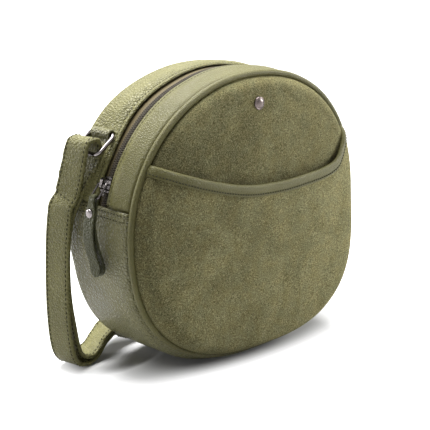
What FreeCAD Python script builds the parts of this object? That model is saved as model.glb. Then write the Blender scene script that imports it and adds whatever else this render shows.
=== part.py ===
import FreeCAD, Part
import math
import os

os.makedirs("parts", exist_ok=True)
V = FreeCAD.Vector

# All lengths in millimetres, all angles in degrees.
# The origin is the middle of the flat the bag stands on. -Y is the front with the
# pocket, +X is to the right for someone facing the front, +Z is up.

# Bag outline, measured at the middle of the piping
seam_radius = 108.0
flat_half = 15.0
seam_depth = 60.0
wall_bulge = 2.0
gusset_thick = 2.4
lining_thick = 0.8
stiffener_thick = 0.8
piping_radius = 2.0
piping_cord_radius = 1.2
seam_gap = 0.3
gusset_end_angle = 13.0

# Front and back panels
panel_thick = 2.0
edge_width = 7.0
front_edge_height = 9.3
front_crown = 3.7
back_edge_height = 5.5
back_crown = 3.0
edge_width_shares = (0.0, 0.04, 0.33, 1.0)
edge_height_shares = (0.0, 0.44, 0.76, 1.0)
crown_width_shares = (0.17, 0.53, 1.0)
crown_height_shares = (0.42, 0.80, 1.0)
crown_reach_share = 0.7

# Slip pocket on the front
pocket_thick = 1.4
pocket_edge_height = 9.0
pocket_crown = 9.8
pocket_side_gap = 0.1
mouth_low_height = 130.5
mouth_rise = 23.0
mouth_half_span = 101.0
binding_thick = 0.8
binding_width = 9.0

# Round metal stud high on the front
stud_radius = 4.6
stud_height = 2.0
stud_post_radius = 1.2
stud_washer_radius = 3.2
stud_washer_thick = 0.6
stud_below_seam = 20.0

# Zip
slot_width = 10.0
tape_thick = 0.6
tape_width = 12.0
teeth_gap = 1.8
teeth_width = 2.5
teeth_thick = 2.0
slider_length = 10.6
slider_width = 8.6
slider_tail_width = 6.4
slider_plate = 1.2
slider_clearance = 0.6
slider_post_length = 4.0
slider_post_width = 1.2
bridge_length = 8.0
bridge_width = 2.4
bridge_wall = 1.1
bridge_room = 4.0
bridge_corner_radius = 2.4
stop_length = 2.4
stop_seat = 9.5

# Zip puller, a wire loop, and the leather pull with its rivet
puller_wire_radius = 0.7
puller_width = 7.6
puller_corner_radius = 1.8
pull_hang_out = 3.0
pull_drop = 8.6
pull_thick = 3.4
pull_width = 11.5
pull_neck_width = 5.2
pull_length = 53.0
pull_eye_radius = 2.3
pull_shoulder_share = 0.2
rivet_radius = 3.2
rivet_height = 1.2
rivet_post_radius = 1.0
rivet_place_share = 0.14
pivot_clearance = 0.3

# Strap tabs and rings
tab_angle = 39.0
tab_foot_angle = 25.0
tab_width = 19.0
tab_thick = 1.8
tab_past_seam = 1.6
ring_wire_radius = 1.4
ring_inner_width = 22.0
ring_corner_radius = 4.0
ring_out = 15.3
ring_down = 11.0

# Shoulder strap, two plies sewn along both edges
strap_width = 20.0
strap_thick = 2.4
strap_floor_gap = 0.1

# Strap adjuster, lying behind the bag
frame_wire = 2.2
frame_length = 12.0
frame_width = 27.0
frame_height = 2.0
adjuster_reach_share = 0.2126
adjuster_back_share = 2.879
adjuster_turn = 8.0
loop_tail = 24.0

# One length that every cutting shape runs past the stock
overrun = 20.0

# Places worked out from the sizes above
lower_radius = seam_radius - flat_half
centre_height = lower_radius + wall_bulge
half_depth = seam_depth / 2
gusset_half = half_depth - piping_radius - seam_gap
wall_radius = seam_radius + wall_bulge
gap_angle = math.degrees(seam_gap / seam_radius)
strip_start = gusset_end_angle + gap_angle
stop_turn = math.degrees(stop_length / seam_radius)
half_slider_turn = math.degrees(slider_length / 2 / seam_radius)
stop_angle = gusset_end_angle + math.degrees(stop_seat / seam_radius)
slider_angle = stop_angle + stop_turn + half_slider_turn + gap_angle
panel_inset = piping_radius + seam_gap
crown_reach = crown_reach_share * lower_radius
tab_middle = gusset_half + tab_past_seam - tab_width / 2
ring_hole = ring_wire_radius + pivot_clearance
tab_roll = ring_hole + tab_thick
strap_low = strap_floor_gap + strap_thick / 2


def save(name, shape):
    shape.exportStep(f"parts/{name}.step")


def polar(radius, angle, y):
    # Point on a circle about the seam's centre; 0 is the left side, 90 is the top
    turn = math.radians(angle)
    return V(-radius * math.cos(turn), y, centre_height + radius * math.sin(turn))


def line(a, b):
    return Part.LineSegment(a, b).toShape()


def arc(a, b, c):
    return Part.Arc(a, b, c).toShape()


def extrude_y(edges, y_from, y_to):
    face = Part.Face(Part.Wire(edges))
    face.translate(V(0, y_from, 0))
    return face.extrude(V(0, y_to - y_from, 0))


def outline(inset, y):
    # Closed seam line, drawn in by inset, in the plane at y
    upper = seam_radius - inset
    lower = lower_radius - inset
    slant = lower * math.sqrt(0.5)
    left = V(-upper, y, centre_height)
    right = V(upper, y, centre_height)
    top = V(0, y, centre_height + upper)
    foot_left = V(-flat_half, y, centre_height - lower)
    foot_right = V(flat_half, y, centre_height - lower)
    mid_left = V(-flat_half - slant, y, centre_height - slant)
    mid_right = V(flat_half + slant, y, centre_height - slant)
    return Part.Wire([
        arc(right, top, left),
        arc(left, mid_left, foot_left),
        line(foot_left, foot_right),
        arc(foot_right, mid_right, right),
    ])


def sector(inner, outer, first, last, y_from, y_to):
    # Curved slab about the seam's centre between two angles
    middle = (first + last) / 2
    edges = [
        arc(polar(outer, first, 0), polar(outer, middle, 0), polar(outer, last, 0)),
        line(polar(outer, last, 0), polar(inner, last, 0)),
        arc(polar(inner, last, 0), polar(inner, middle, 0), polar(inner, first, 0)),
        line(polar(inner, first, 0), polar(outer, first, 0)),
    ]
    return extrude_y(edges, y_from, y_to)


def band_path(offset):
    # Edges from the left end of the gusset, under the bag, to the right end
    upper = seam_radius + offset
    lower = lower_radius + offset
    slant = lower * math.sqrt(0.5)
    left = V(-upper, 0, centre_height)
    right = V(upper, 0, centre_height)
    foot_left = V(-flat_half, 0, centre_height - lower)
    foot_right = V(flat_half, 0, centre_height - lower)
    mid_left = V(-flat_half - slant, 0, centre_height - slant)
    mid_right = V(flat_half + slant, 0, centre_height - slant)
    end_left = polar(upper, gusset_end_angle, 0)
    end_right = V(-end_left.x, 0, end_left.z)
    half_left = polar(upper, gusset_end_angle / 2, 0)
    half_right = V(-half_left.x, 0, half_left.z)
    edges = [
        arc(end_left, half_left, left),
        arc(left, mid_left, foot_left),
        line(foot_left, foot_right),
        arc(foot_right, mid_right, right),
        arc(right, half_right, end_right),
    ]
    return edges, end_left, end_right


def lower_band(inner, outer, half_width):
    outside, outside_left, outside_right = band_path(outer)
    inside, inside_left, inside_right = band_path(inner)
    edges = outside + [line(outside_right, inside_right)] + inside + [line(inside_left, outside_left)]
    return extrude_y(Part.__sortEdges__(edges), -half_width, half_width)


def dome_profile(inset, depth, edge_height, crown):
    # Rows of inset and depth from the bag's middle plane: rolled edge, then crown
    rows = []
    for across, up in zip(edge_width_shares, edge_height_shares):
        rows.append((inset + across * edge_width, depth + up * edge_height))
    for across, up in zip(crown_width_shares, crown_height_shares):
        rows.append((inset + edge_width + across * crown_reach, depth + edge_height + up * crown))
    return rows


def shifted(rows, amount):
    # The same dome, smaller all round by amount
    return [(inset + amount, depth - amount) for inset, depth in rows]


def dome(rows, side):
    return Part.makeLoft([outline(inset, side * depth) for inset, depth in rows], True, True)


def shell(rows, thick, side):
    # Dome less the same dome set in, so it is open towards the inside of the bag
    return dome(rows, side).cut(dome(shifted(rows, thick), side))


def depth_at(rows, inset):
    for (near, near_depth), (far, far_depth) in zip(rows, rows[1:]):
        if near <= inset <= far:
            return near_depth + (far_depth - near_depth) * (inset - near) / (far - near)
    return rows[-1][1]


def below_mouth(drop):
    # Block under the pocket's curved mouth line, lowered by drop
    low = mouth_low_height - drop
    radius = (mouth_half_span ** 2 + mouth_rise ** 2) / (2 * mouth_rise)
    half = wall_radius + overrun
    end = low + radius - math.sqrt(radius ** 2 - half ** 2)
    left = V(-half, 0, end)
    right = V(half, 0, end)
    bottom_left = V(-half, 0, -overrun)
    bottom_right = V(half, 0, -overrun)
    edges = [
        arc(left, V(0, 0, low), right),
        line(right, bottom_right),
        line(bottom_right, bottom_left),
        line(bottom_left, left),
    ]
    return extrude_y(edges, -seam_depth - overrun, 0)


def seam_tube(radius, y):
    # Round bar along the whole closed seam line
    path = outline(0, y)
    circle = Part.Wire(Part.makeCircle(radius, V(0, y, centre_height - lower_radius), V(1, 0, 0)))
    edges = Part.__sortEdges__(path.Edges)
    start = next(i for i, edge in enumerate(edges) if edge.Curve.TypeId == "Part::GeomLine")
    turned = edges[start:] + edges[:start]
    first = line(V(0, y, centre_height - lower_radius), V(flat_half, y, centre_height - lower_radius))
    last = line(V(-flat_half, y, centre_height - lower_radius), V(0, y, centre_height - lower_radius))
    route = Part.Wire([first] + turned[1:] + [last])
    return route.makePipeShell([circle], True, False)


def wire_loop(width, length, corner, radius):
    # Closed loop of round wire in the YZ plane; its top bar lies on the Y axis
    side = width / 2
    bend = corner * (1 - math.sqrt(0.5))
    points = [
        V(0, 0, 0),
        V(0, side - corner, 0), V(0, side - bend, -bend), V(0, side, -corner),
        V(0, side, corner - length), V(0, side - bend, bend - length), V(0, side - corner, -length),
        V(0, corner - side, -length), V(0, bend - side, bend - length), V(0, -side, corner - length),
        V(0, -side, -corner), V(0, bend - side, -bend), V(0, corner - side, 0),
    ]
    path = Part.Wire([
        line(points[0], points[1]),
        arc(points[1], points[2], points[3]),
        line(points[3], points[4]),
        arc(points[4], points[5], points[6]),
        line(points[6], points[7]),
        arc(points[7], points[8], points[9]),
        line(points[9], points[10]),
        arc(points[10], points[11], points[12]),
        line(points[12], points[0]),
    ])
    circle = Part.Wire(Part.makeCircle(radius, points[0], V(0, 1, 0)))
    return path.makePipeShell([circle], True, False)


def bar_y(radius, x, z, y_from, y_to):
    return Part.makeCylinder(radius, y_to - y_from, V(x, y_from, z), V(0, 1, 0))


def cap(radius, height, base, way):
    # Shallow round dome on a flat base, rising along way
    ball = (radius ** 2 + height ** 2) / (2 * height)
    rim = math.degrees(math.asin((ball - height) / ball))
    return Part.makeSphere(ball, base - way * (ball - height), way, rim, 90, 360)


def box_between(low, high):
    return Part.makeBox(high.x - low.x, high.y - low.y, high.z - low.z, low)


# Front half: panel, stiffener, lining, piping, pocket and stud
front_rows = dome_profile(panel_inset, half_depth, front_edge_height, front_crown)
pocket_depth = half_depth + piping_radius + seam_gap
pocket_inset = panel_inset - pocket_thick - pocket_side_gap
pocket_rows = dome_profile(pocket_inset, pocket_depth, pocket_edge_height, pocket_crown)
board_rows = shifted(front_rows, panel_thick)


def front_stud():
    # Domed head pressed into the leather, a post through the layers and a washer behind the board
    stud_z = centre_height + seam_radius - stud_below_seam
    face_depth = depth_at(front_rows, stud_below_seam)
    back_depth = depth_at(shifted(board_rows, stiffener_thick), stud_below_seam)
    post = bar_y(stud_post_radius, 0, stud_z, -face_depth, -back_depth + stud_washer_thick)
    stud = cap(stud_radius, stud_height, V(0, -face_depth, stud_z), V(0, -1, 0)).fuse(post)
    washer = bar_y(stud_washer_radius, 0, stud_z, -back_depth, -back_depth + stud_washer_thick).cut(post)
    save("front_stud", stud)
    save("stud_washer", washer)
    return stud, washer


def front_shells():
    stud, washer = front_stud()
    lining_rows = shifted(board_rows, stiffener_thick)
    save("front_panel", shell(front_rows, panel_thick, -1).cut([stud, washer]))
    save("front_stiffener", shell(board_rows, stiffener_thick, -1).cut([stud, washer]))
    save("front_lining", shell(lining_rows, lining_thick, -1).cut([stud, washer]))


def front_pocket():
    pocket = shell(pocket_rows, pocket_thick, -1)
    rim_plane = box_between(V(-wall_radius, -pocket_depth, 0), V(wall_radius, 0, 2 * wall_radius))
    save("front_pocket", pocket.common(below_mouth(0)).cut(rim_plane))
    cover = shell(shifted(pocket_rows, -binding_thick), binding_thick, -1)
    band = cover.common(below_mouth(0)).cut(below_mouth(binding_width))
    save("pocket_binding", band.cut(rim_plane))


def piping(name, y):
    cord = seam_tube(piping_cord_radius, y)
    save(name + "_piping", seam_tube(piping_radius, y).cut(cord))
    save(name + "_piping_cord", cord)


# Back half: panel, stiffener and lining
def back_shells():
    rows = dome_profile(panel_inset, half_depth, back_edge_height, back_crown)
    board_rows = shifted(rows, panel_thick)
    save("back_panel", shell(rows, panel_thick, 1))
    save("back_stiffener", shell(board_rows, stiffener_thick, 1))
    save("back_lining", shell(shifted(board_rows, stiffener_thick), lining_thick, 1))


# Side wall under the zip
def lower_gusset():
    inside = wall_bulge - gusset_thick
    save("lower_gusset", lower_band(inside, wall_bulge, gusset_half))
    save("gusset_lining", lower_band(inside - lining_thick, inside, gusset_half))


# One side of the zip with its leather strip; side is -1 for the front, 1 for the back
def zip_side(name, side):
    last = 180 - strip_start
    tape_low = seam_radius - tape_thick / 2
    tape_high = seam_radius + tape_thick / 2
    teeth_near = teeth_gap / 2
    teeth_far = teeth_near + teeth_width
    spans = {
        "_top_strip": (tape_high, wall_radius, slot_width / 2, gusset_half),
        "_zip_tape": (tape_low, tape_high, teeth_far, teeth_far + tape_width),
        "_zip_teeth": (seam_radius - teeth_thick / 2, seam_radius + teeth_thick / 2, teeth_near, teeth_far),
        "_top_lining": (tape_low - lining_thick, tape_low, slot_width / 2, gusset_half),
    }
    for ending, (inner, outer, near, far) in spans.items():
        y_from = min(side * near, side * far)
        y_to = max(side * near, side * far)
        save(name + ending, sector(inner, outer, strip_start, last, y_from, y_to))


def zip_stops():
    # Metal stops pinched round the back tape's edge just past both ends of the slider's travel
    near = teeth_gap / 2
    far = near + teeth_width
    low = seam_radius + teeth_thick / 2
    high = low + slider_clearance
    last = stop_angle + stop_turn
    stop = sector(low, high, stop_angle, last, near, far)
    other = sector(low, high, 180 - last, 180 - stop_angle, near, far)
    save("zip_stops", Part.makeCompound([stop, other]))


# Slider, drawn at the top of the bag and then turned down to its rest place
def zip_slider():
    middle = centre_height + seam_radius
    inner_face = teeth_thick / 2 + slider_clearance
    nose = slider_length / 2
    wide = slider_width / 2
    tail = slider_tail_width / 2

    def plate(z_from, z_to):
        corners = [
            V(-nose, -wide, z_from), V(0, -wide, z_from), V(nose, -tail, z_from),
            V(nose, tail, z_from), V(0, wide, z_from), V(-nose, wide, z_from),
        ]
        face = Part.Face(Part.makePolygon(corners + corners[:1]))
        solid = face.extrude(V(0, 0, z_to - z_from))
        upright = [e for e in solid.Edges if abs(e.tangentAt(e.FirstParameter).z) > 0.9]
        return solid.makeFillet(slider_plate, upright)

    lower = plate(middle - inner_face - slider_plate, middle - inner_face)
    upper = plate(middle + inner_face, middle + inner_face + slider_plate)
    post_half = slider_post_length / 2
    post = box_between(V(-post_half, -slider_post_width / 2, middle - inner_face),
                       V(post_half, slider_post_width / 2, middle + inner_face))
    deck = middle + inner_face + slider_plate
    bridge_half = bridge_length / 2
    bridge = box_between(V(-bridge_half, -bridge_width / 2, deck),
                         V(bridge_half, bridge_width / 2, deck + bridge_room + bridge_wall))
    across = [e for e in bridge.Edges if abs(e.tangentAt(e.FirstParameter).y) > 0.9]
    top_corners = [e for e in across if e.CenterOfMass.z > deck + bridge_room]
    bridge = bridge.makeFillet(bridge_corner_radius, top_corners)
    window = box_between(V(bridge_wall - bridge_half, -bridge_width, deck),
                         V(bridge_half - bridge_wall, bridge_width, deck + bridge_room))
    slider = lower.fuse([upper, post, bridge.cut(window)]).removeSplitter()
    slider.rotate(V(0, 0, centre_height), V(0, 1, 0), slider_angle - 90)
    save("zip_slider", slider)
    top_of_room = seam_radius + inner_face + slider_plate + bridge_room
    return top_of_room - puller_wire_radius - pivot_clearance


def zip_pull(pivot_radius):
    # The wire loop leans out from the bridge, and the leather hangs straight down from it
    pivot = polar(pivot_radius, slider_angle, 0)
    hang_x = -wall_radius - pull_hang_out
    hang_z = pivot.z - pull_drop
    length = math.hypot(pivot.x - hang_x, pull_drop)
    lean = math.degrees(math.atan2(pivot.x - hang_x, pull_drop))
    loop = wire_loop(puller_width, length, puller_corner_radius, puller_wire_radius)
    loop.rotate(V(0, 0, 0), V(0, 1, 0), lean)
    loop.translate(pivot)
    save("zip_puller", loop)
    half = pull_width / 2
    neck = pull_neck_width / 2
    tip_z = hang_z - pull_length
    shoulder_z = hang_z - pull_shoulder_share * pull_length
    neck_z = hang_z - pull_eye_radius - puller_wire_radius
    edges = [
        line(V(0, -neck, hang_z), V(0, -neck, neck_z)),
        line(V(0, -neck, neck_z), V(0, -half, shoulder_z)),
        line(V(0, -half, shoulder_z), V(0, -half, tip_z + half)),
        arc(V(0, -half, tip_z + half), V(0, 0, tip_z), V(0, half, tip_z + half)),
        line(V(0, half, tip_z + half), V(0, half, shoulder_z)),
        line(V(0, half, shoulder_z), V(0, neck, neck_z)),
        line(V(0, neck, neck_z), V(0, neck, hang_z)),
        line(V(0, neck, hang_z), V(0, -neck, hang_z)),
    ]
    flat = Part.Face(Part.Wire(edges))
    flat.translate(V(hang_x - pull_thick / 2, 0, 0))
    body = flat.extrude(V(pull_thick, 0, 0))
    eye = bar_y(pull_eye_radius, hang_x, hang_z, -neck, neck)
    hole = bar_y(puller_wire_radius + pivot_clearance, hang_x, hang_z, -overrun, overrun)
    rivet_z = hang_z - rivet_place_share * pull_length - pull_eye_radius
    outside = V(hang_x - pull_thick / 2, 0, rivet_z)
    shank = Part.makeCylinder(rivet_post_radius, pull_thick, outside, V(1, 0, 0))
    save("leather_pull", body.fuse(eye).removeSplitter().cut(hole).cut(shank))
    save("pull_rivet", cap(rivet_radius, rivet_height, outside, V(-1, 0, 0)).fuse(shank))


# Strap tabs and rings; side is -1 for the left, 1 for the right
def mirrored(shape, side):
    if side < 0:
        return shape
    return shape.mirror(V(0, 0, 0), V(1, 0, 0))


ring_axle = polar(wall_radius + tab_roll, tab_angle, tab_middle)
ring_bow = ring_axle + V(-ring_out, 0, -ring_down)


def tab_and_ring(name, side):
    near = tab_middle - tab_width / 2
    far = tab_middle + tab_width / 2
    foot = sector(wall_radius, wall_radius + tab_thick, tab_foot_angle, tab_angle, near, far)
    tube = bar_y(tab_roll, ring_axle.x, ring_axle.z, near, far)
    bore = bar_y(ring_hole, ring_axle.x, ring_axle.z, near - overrun, far + overrun)
    save(name + "_strap_tab", mirrored(foot.fuse(tube).cut(bore).removeSplitter(), side))
    length = math.hypot(ring_out, ring_down)
    lean = math.degrees(math.atan2(ring_out, ring_down))
    ring = wire_loop(ring_inner_width + 2 * ring_wire_radius, length, ring_corner_radius, ring_wire_radius)
    ring.rotate(V(0, 0, 0), V(0, 1, 0), lean)
    ring.translate(ring_axle)
    save(name + "_ring", mirrored(ring, side))


# Route of the strap's middle line, as shares of the left ring bow's x and y and of its
# height over the strap that lies on the floor, with the turn of its width from the Y axis.
# It starts behind the bag, runs to the left ring, over it, down and along the floor to the right ring.
return_shares = [
    (0.4058, 2.737, 0.0201, 0.0), (0.5217, 2.576, 0.0357, -14.0), (0.6473, 2.399, 0.0564, -22.0),
    (0.7633, 2.197, 0.0526, -18.0), (0.8599, 2.020, 0.0474, -8.0), (0.9420, 1.919, 0.0616, 4.0),
    (1.0145, 1.843, 0.1084, 14.0), (1.0763, 1.778, 0.2122, 21.0), (1.1111, 1.717, 0.3808, 20.0),
    (1.1130, 1.687, 0.5885, 17.0), (1.0957, 1.545, 0.7247, 14.0), (1.0512, 1.313, 0.8285, 10.0),
]
fold_shares = [
    (1.0106, 1.131, 0.9064, 6.0), (0.9623, 1.040, 0.9777, 6.0), (0.9527, 1.020, 1.0361, 6.0),
    (0.9643, 1.010, 1.0595, 6.0), (0.9971, 1.000, 1.0725, 6.0), (1.0300, 1.010, 1.0595, 6.0),
    (1.0435, 1.020, 1.0361, 7.0), (1.0560, 1.091, 0.9777, 9.0), (1.0685, 1.202, 0.9064, 11.0),
]
drop_shares = [
    (1.0917, 1.364, 0.8285, 13.0), (1.1246, 1.525, 0.7247, 14.0), (1.1440, 1.646, 0.5885, 17.0),
    (1.1459, 1.677, 0.3808, 20.0), (1.1208, 1.727, 0.2057, 22.0), (1.0686, 1.788, 0.0785, 19.0),
    (1.0010, 1.848, 0.0214, 12.0), (0.9179, 1.939, 0.0013, 0.0), (0.8019, 2.121, 0.0, -14.0),
    (0.6377, 2.404, 0.0, -18.0), (0.4058, 2.727, 0.0, -6.0), (0.0, 2.879, 0.0, 0.0),
]


def strap_place(reach_share, back_share, height_share):
    height = strap_low + height_share * (ring_bow.z - strap_low)
    return V(reach_share * ring_bow.x, back_share * ring_bow.y, height)


def strap_sections():
    left = return_shares + fold_shares + drop_shares
    across = [(-x, y, z, -turn) for x, y, z, turn in reversed(fold_shares + drop_shares[:-1])]
    route = left + across
    places = [strap_place(*point[:-1]) for point in route]
    sections = []
    for i, point in enumerate(route):
        before = places[max(i - 1, 0)]
        after = places[min(i + 1, len(places) - 1)]
        along = (after - before).normalize()
        angle = math.radians(point[-1])
        wide = V(-math.sin(angle), math.cos(angle), 0)
        thick = along.cross(wide).normalize()
        half_wide = wide * (strap_width / 2)
        half_thick = thick * (strap_thick / 2)
        place = places[i]
        corners = [
            place - half_wide - half_thick, place + half_wide - half_thick,
            place + half_wide + half_thick, place - half_wide + half_thick,
        ]
        sections.append(Part.makePolygon(corners + corners[:1]))
    return sections


def shoulder_strap():
    sections = strap_sections()
    fold_start = len(return_shares) - 1
    fold_end = len(return_shares) + len(fold_shares)
    right_fold = len(sections) - len(fold_shares) - 1
    spans = {
        "strap_return": sections[:fold_start + 1],
        "strap_fold_left": sections[fold_start:fold_end + 1],
        "strap_main": sections[fold_end:right_fold + 1],
        "strap_fold_right": sections[right_fold:],
    }
    for name, wires in spans.items():
        save(name, Part.makeLoft(wires, True, True))


# Adjuster behind the bag: a flat frame with a middle bar, held by the strap's folded end
def strap_adjuster():
    half_long = frame_length / 2
    half_wide = frame_width / 2
    inner = math.hypot(frame_height / 2, frame_wire / 2) + seam_gap
    outer = inner + strap_thick / 2
    lift = strap_floor_gap + strap_thick + seam_gap + outer
    low = lift - frame_height / 2
    high = lift + frame_height / 2
    plate = box_between(V(-half_long, -half_wide, low), V(half_long, half_wide, high))
    upright = [e for e in plate.Edges if abs(e.tangentAt(e.FirstParameter).z) > 0.9]
    plate = plate.makeFillet(frame_wire, upright)
    slot_half = half_wide - frame_wire
    bar_half = frame_wire / 2
    slots = [
        box_between(V(frame_wire - half_long, -slot_half, low), V(-bar_half, slot_half, high)),
        box_between(V(bar_half, -slot_half, low), V(half_long - frame_wire, slot_half, high)),
    ]
    frame = plate.cut(slots[0]).cut(slots[1])
    edge = strap_width / 2
    outside = bar_y(outer, 0, lift, -edge, edge)
    upper_ply = box_between(V(-loop_tail, -edge, lift + inner), V(0, edge, lift + outer))
    bore = bar_y(inner, 0, lift, -edge, edge)
    loop = outside.fuse(upper_ply).cut(bore)
    for name, shape in (("strap_adjuster", frame), ("adjuster_loop", loop)):
        shape.rotate(V(0, 0, 0), V(0, 0, 1), adjuster_turn)
        shape.translate(V(adjuster_reach_share * ring_bow.x, adjuster_back_share * ring_bow.y, 0))
        save(name, shape)


def build():
    front_shells()
    front_pocket()
    piping("front", -half_depth)
    piping("back", half_depth)
    back_shells()
    lower_gusset()
    zip_side("front", -1)
    zip_side("back", 1)
    zip_stops()
    pivot_radius = zip_slider()
    zip_pull(pivot_radius)
    for name, side in (("left", -1), ("right", 1)):
        tab_and_ring(name, side)
    print("ring bow", ring_bow, "slider pivot", polar(pivot_radius, slider_angle, 0))
    shoulder_strap()
    strap_adjuster()


build()
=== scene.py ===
import bmesh
import bpy
import math
import numpy as np
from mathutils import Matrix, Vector


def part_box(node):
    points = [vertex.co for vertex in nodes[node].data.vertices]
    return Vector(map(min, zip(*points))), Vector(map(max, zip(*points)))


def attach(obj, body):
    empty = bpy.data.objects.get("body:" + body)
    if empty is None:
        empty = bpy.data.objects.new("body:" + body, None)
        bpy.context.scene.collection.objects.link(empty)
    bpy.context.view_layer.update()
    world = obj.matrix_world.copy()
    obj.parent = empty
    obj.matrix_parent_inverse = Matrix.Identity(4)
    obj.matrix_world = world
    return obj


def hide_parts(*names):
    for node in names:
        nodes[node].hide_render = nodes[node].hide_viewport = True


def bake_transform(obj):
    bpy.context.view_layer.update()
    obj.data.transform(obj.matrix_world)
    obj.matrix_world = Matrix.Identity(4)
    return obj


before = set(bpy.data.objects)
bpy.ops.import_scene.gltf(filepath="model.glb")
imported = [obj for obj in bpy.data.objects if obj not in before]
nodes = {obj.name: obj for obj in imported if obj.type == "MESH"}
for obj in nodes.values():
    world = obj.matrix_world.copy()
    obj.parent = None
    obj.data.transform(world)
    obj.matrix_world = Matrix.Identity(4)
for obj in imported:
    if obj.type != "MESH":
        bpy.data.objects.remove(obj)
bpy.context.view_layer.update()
scene = bpy.context.scene
print("frame loaded,", len(nodes), "nodes")

# Everything is in metres. -Y is the front with the pocket, +Z is up.

# Seam line of the bag as the leather pulls it, and the circle that the zip's slider runs on
seam = {
    "radius": 0.108,
    "centreHeight": 0.095,
    "halfLeft": 0.1079,
    "halfRight": 0.1066,
    "fullCentre": 0.1027,
    "halfUp": 0.0989,
    "halfDown": 0.0980,
    "squareUpLeft": 2.05,
    "squareUpRight": 2.22,
    "squareDownLeft": 2.28,
    "squareDownRight": 2.80,
}


def seamBase(turns):
    # Points of the seam line; turn 0 is the left side, a quarter turn is the top
    c = -np.cos(turns)
    s = np.sin(turns)
    up = s >= 0
    left = c < 0
    n = np.where(up, np.where(left, seam["squareUpLeft"], seam["squareUpRight"]),
                 np.where(left, seam["squareDownLeft"], seam["squareDownRight"]))
    wide = np.where(left, seam["halfLeft"], seam["halfRight"])
    tall = np.where(up, seam["halfUp"], seam["halfDown"])
    r = ((np.abs(c) / wide) ** n + (np.abs(s) / tall) ** n) ** (-1 / n)
    return c * r, seam["fullCentre"] + s * r


def seamPoints(turns, ys, outs):
    # The same points at a depth, pushed out square to the seam line
    turns, ys, outs = np.broadcast_arrays(*(np.asarray(v, float) for v in (turns, ys, outs)))
    step = 0.002
    x, z = seamBase(turns)
    xa, za = seamBase(turns - step)
    xb, zb = seamBase(turns + step)
    tx = xb - xa
    tz = zb - za
    size = np.hypot(tx, tz)
    return np.stack([x - tz / size * outs, ys, z + tx / size * outs], -1)


def smooth(low, high, v):
    t = np.clip((v - low) / (high - low), 0, 1)
    return t * t * (3 - 2 * t)


backEdge = {"drawn": 0.0030, "from": 0.0, "full": 0.30, "fade": 0.40, "gone": 0.92,
            "nearY": -0.012, "farY": 0.030}


def drawnIn(turns):
    # How far the back edge is pulled in on the lower sides
    low = -np.sin(turns)
    grown = smooth(backEdge["from"], backEdge["full"], low)
    return backEdge["drawn"] * grown * (1 - smooth(backEdge["fade"], backEdge["gone"], low))


def ripple(x, y, z, wave, seed):
    # Slow unevenness from -1 to 1, the same on every run
    total = 0
    for k in range(3):
        f = 2 * math.pi / wave * (1 + 0.37 * k)
        a = seed * 1.7 + k * 2.1
        total = total + np.sin(f * (x * math.cos(a) + z * math.sin(a)) + a * 3) * np.cos(f * 0.8 * y + a)
    return total / 3


# Small helpers for meshes

def gridFaces(rows, cols, closeRows=False, closeCols=False, flip=False):
    faces = []
    for i in range(rows if closeRows else rows - 1):
        for j in range(cols if closeCols else cols - 1):
            a = i * cols + j
            b = (i + 1) % rows * cols + j
            c = (i + 1) % rows * cols + (j + 1) % cols
            d = i * cols + (j + 1) % cols
            faces.append((a, d, c, b) if flip else (a, b, c, d))
    return faces


def tubeFaces(rows, cols):
    # A run of closed sections with a cap at each end
    caps = [tuple(range(cols)), tuple(reversed(range((rows - 1) * cols, rows * cols)))]
    return gridFaces(rows, cols, closeCols=True) + caps


def newMesh(name, points, faces, smoothShade=True):
    mesh = bpy.data.meshes.new(name)
    mesh.from_pydata([tuple(p) for p in np.asarray(points, float).reshape(-1, 3)], [], faces)
    mesh.validate()
    mesh.update()
    if smoothShade:
        mesh.polygons.foreach_set("use_smooth", [True] * len(mesh.polygons))
    piece = bpy.data.objects.new(name, mesh)
    scene.collection.objects.link(piece)
    return piece


def bakeModifiers(piece):
    # Turns the evaluated piece into a plain mesh
    graph = bpy.context.evaluated_depsgraph_get()
    made = bpy.data.meshes.new_from_object(piece.evaluated_get(graph))
    made.name = piece.name
    piece.modifiers.clear()
    old = piece.data
    piece.data = made
    bpy.data.meshes.remove(old)
    return piece


def thicken(piece, thickness):
    # Gives a sheet its wall, inwards from the shown face
    wall = piece.modifiers.new("wall", "SOLIDIFY")
    wall.thickness = thickness
    wall.offset = -1
    wall.use_even_offset = False
    return bakeModifiers(piece)


def finishPiece(piece, material, body, stands=()):
    piece.data.materials.clear()
    piece.data.materials.append(material)
    if body:
        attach(piece, body)
    if stands:
        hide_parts(*stands)
    return piece


def stripFrames(path, wides):
    # Unit directions across a strip and square to its face, all along its path
    along = np.gradient(path, axis=0)
    along /= np.linalg.norm(along, axis=1)[:, None]
    wides = wides - (wides * along).sum(1)[:, None] * along
    wides /= np.linalg.norm(wides, axis=1)[:, None]
    return wides, np.cross(along, wides)


def sweep(name, path, wides, section, widths=1.0):
    # Runs a closed section of (across, thick) points along a path; wides give its width direction
    wides, thick = stripFrames(path, wides)
    across = section[None, :, 0] * np.broadcast_to(widths, len(path))[:, None]
    points = (path[:, None, :] + across[:, :, None] * wides[:, None, :]
              + section[None, :, 1, None] * thick[:, None, :])
    rows, cols = points.shape[:2]
    return outward(newMesh(name, points, tubeFaces(rows, cols)))


def outward(piece):
    # Recalculates the normals of a closed mesh
    shape = bmesh.new()
    shape.from_mesh(piece.data)
    bmesh.ops.recalc_face_normals(shape, faces=shape.faces)
    shape.to_mesh(piece.data)
    shape.free()
    return piece


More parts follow.
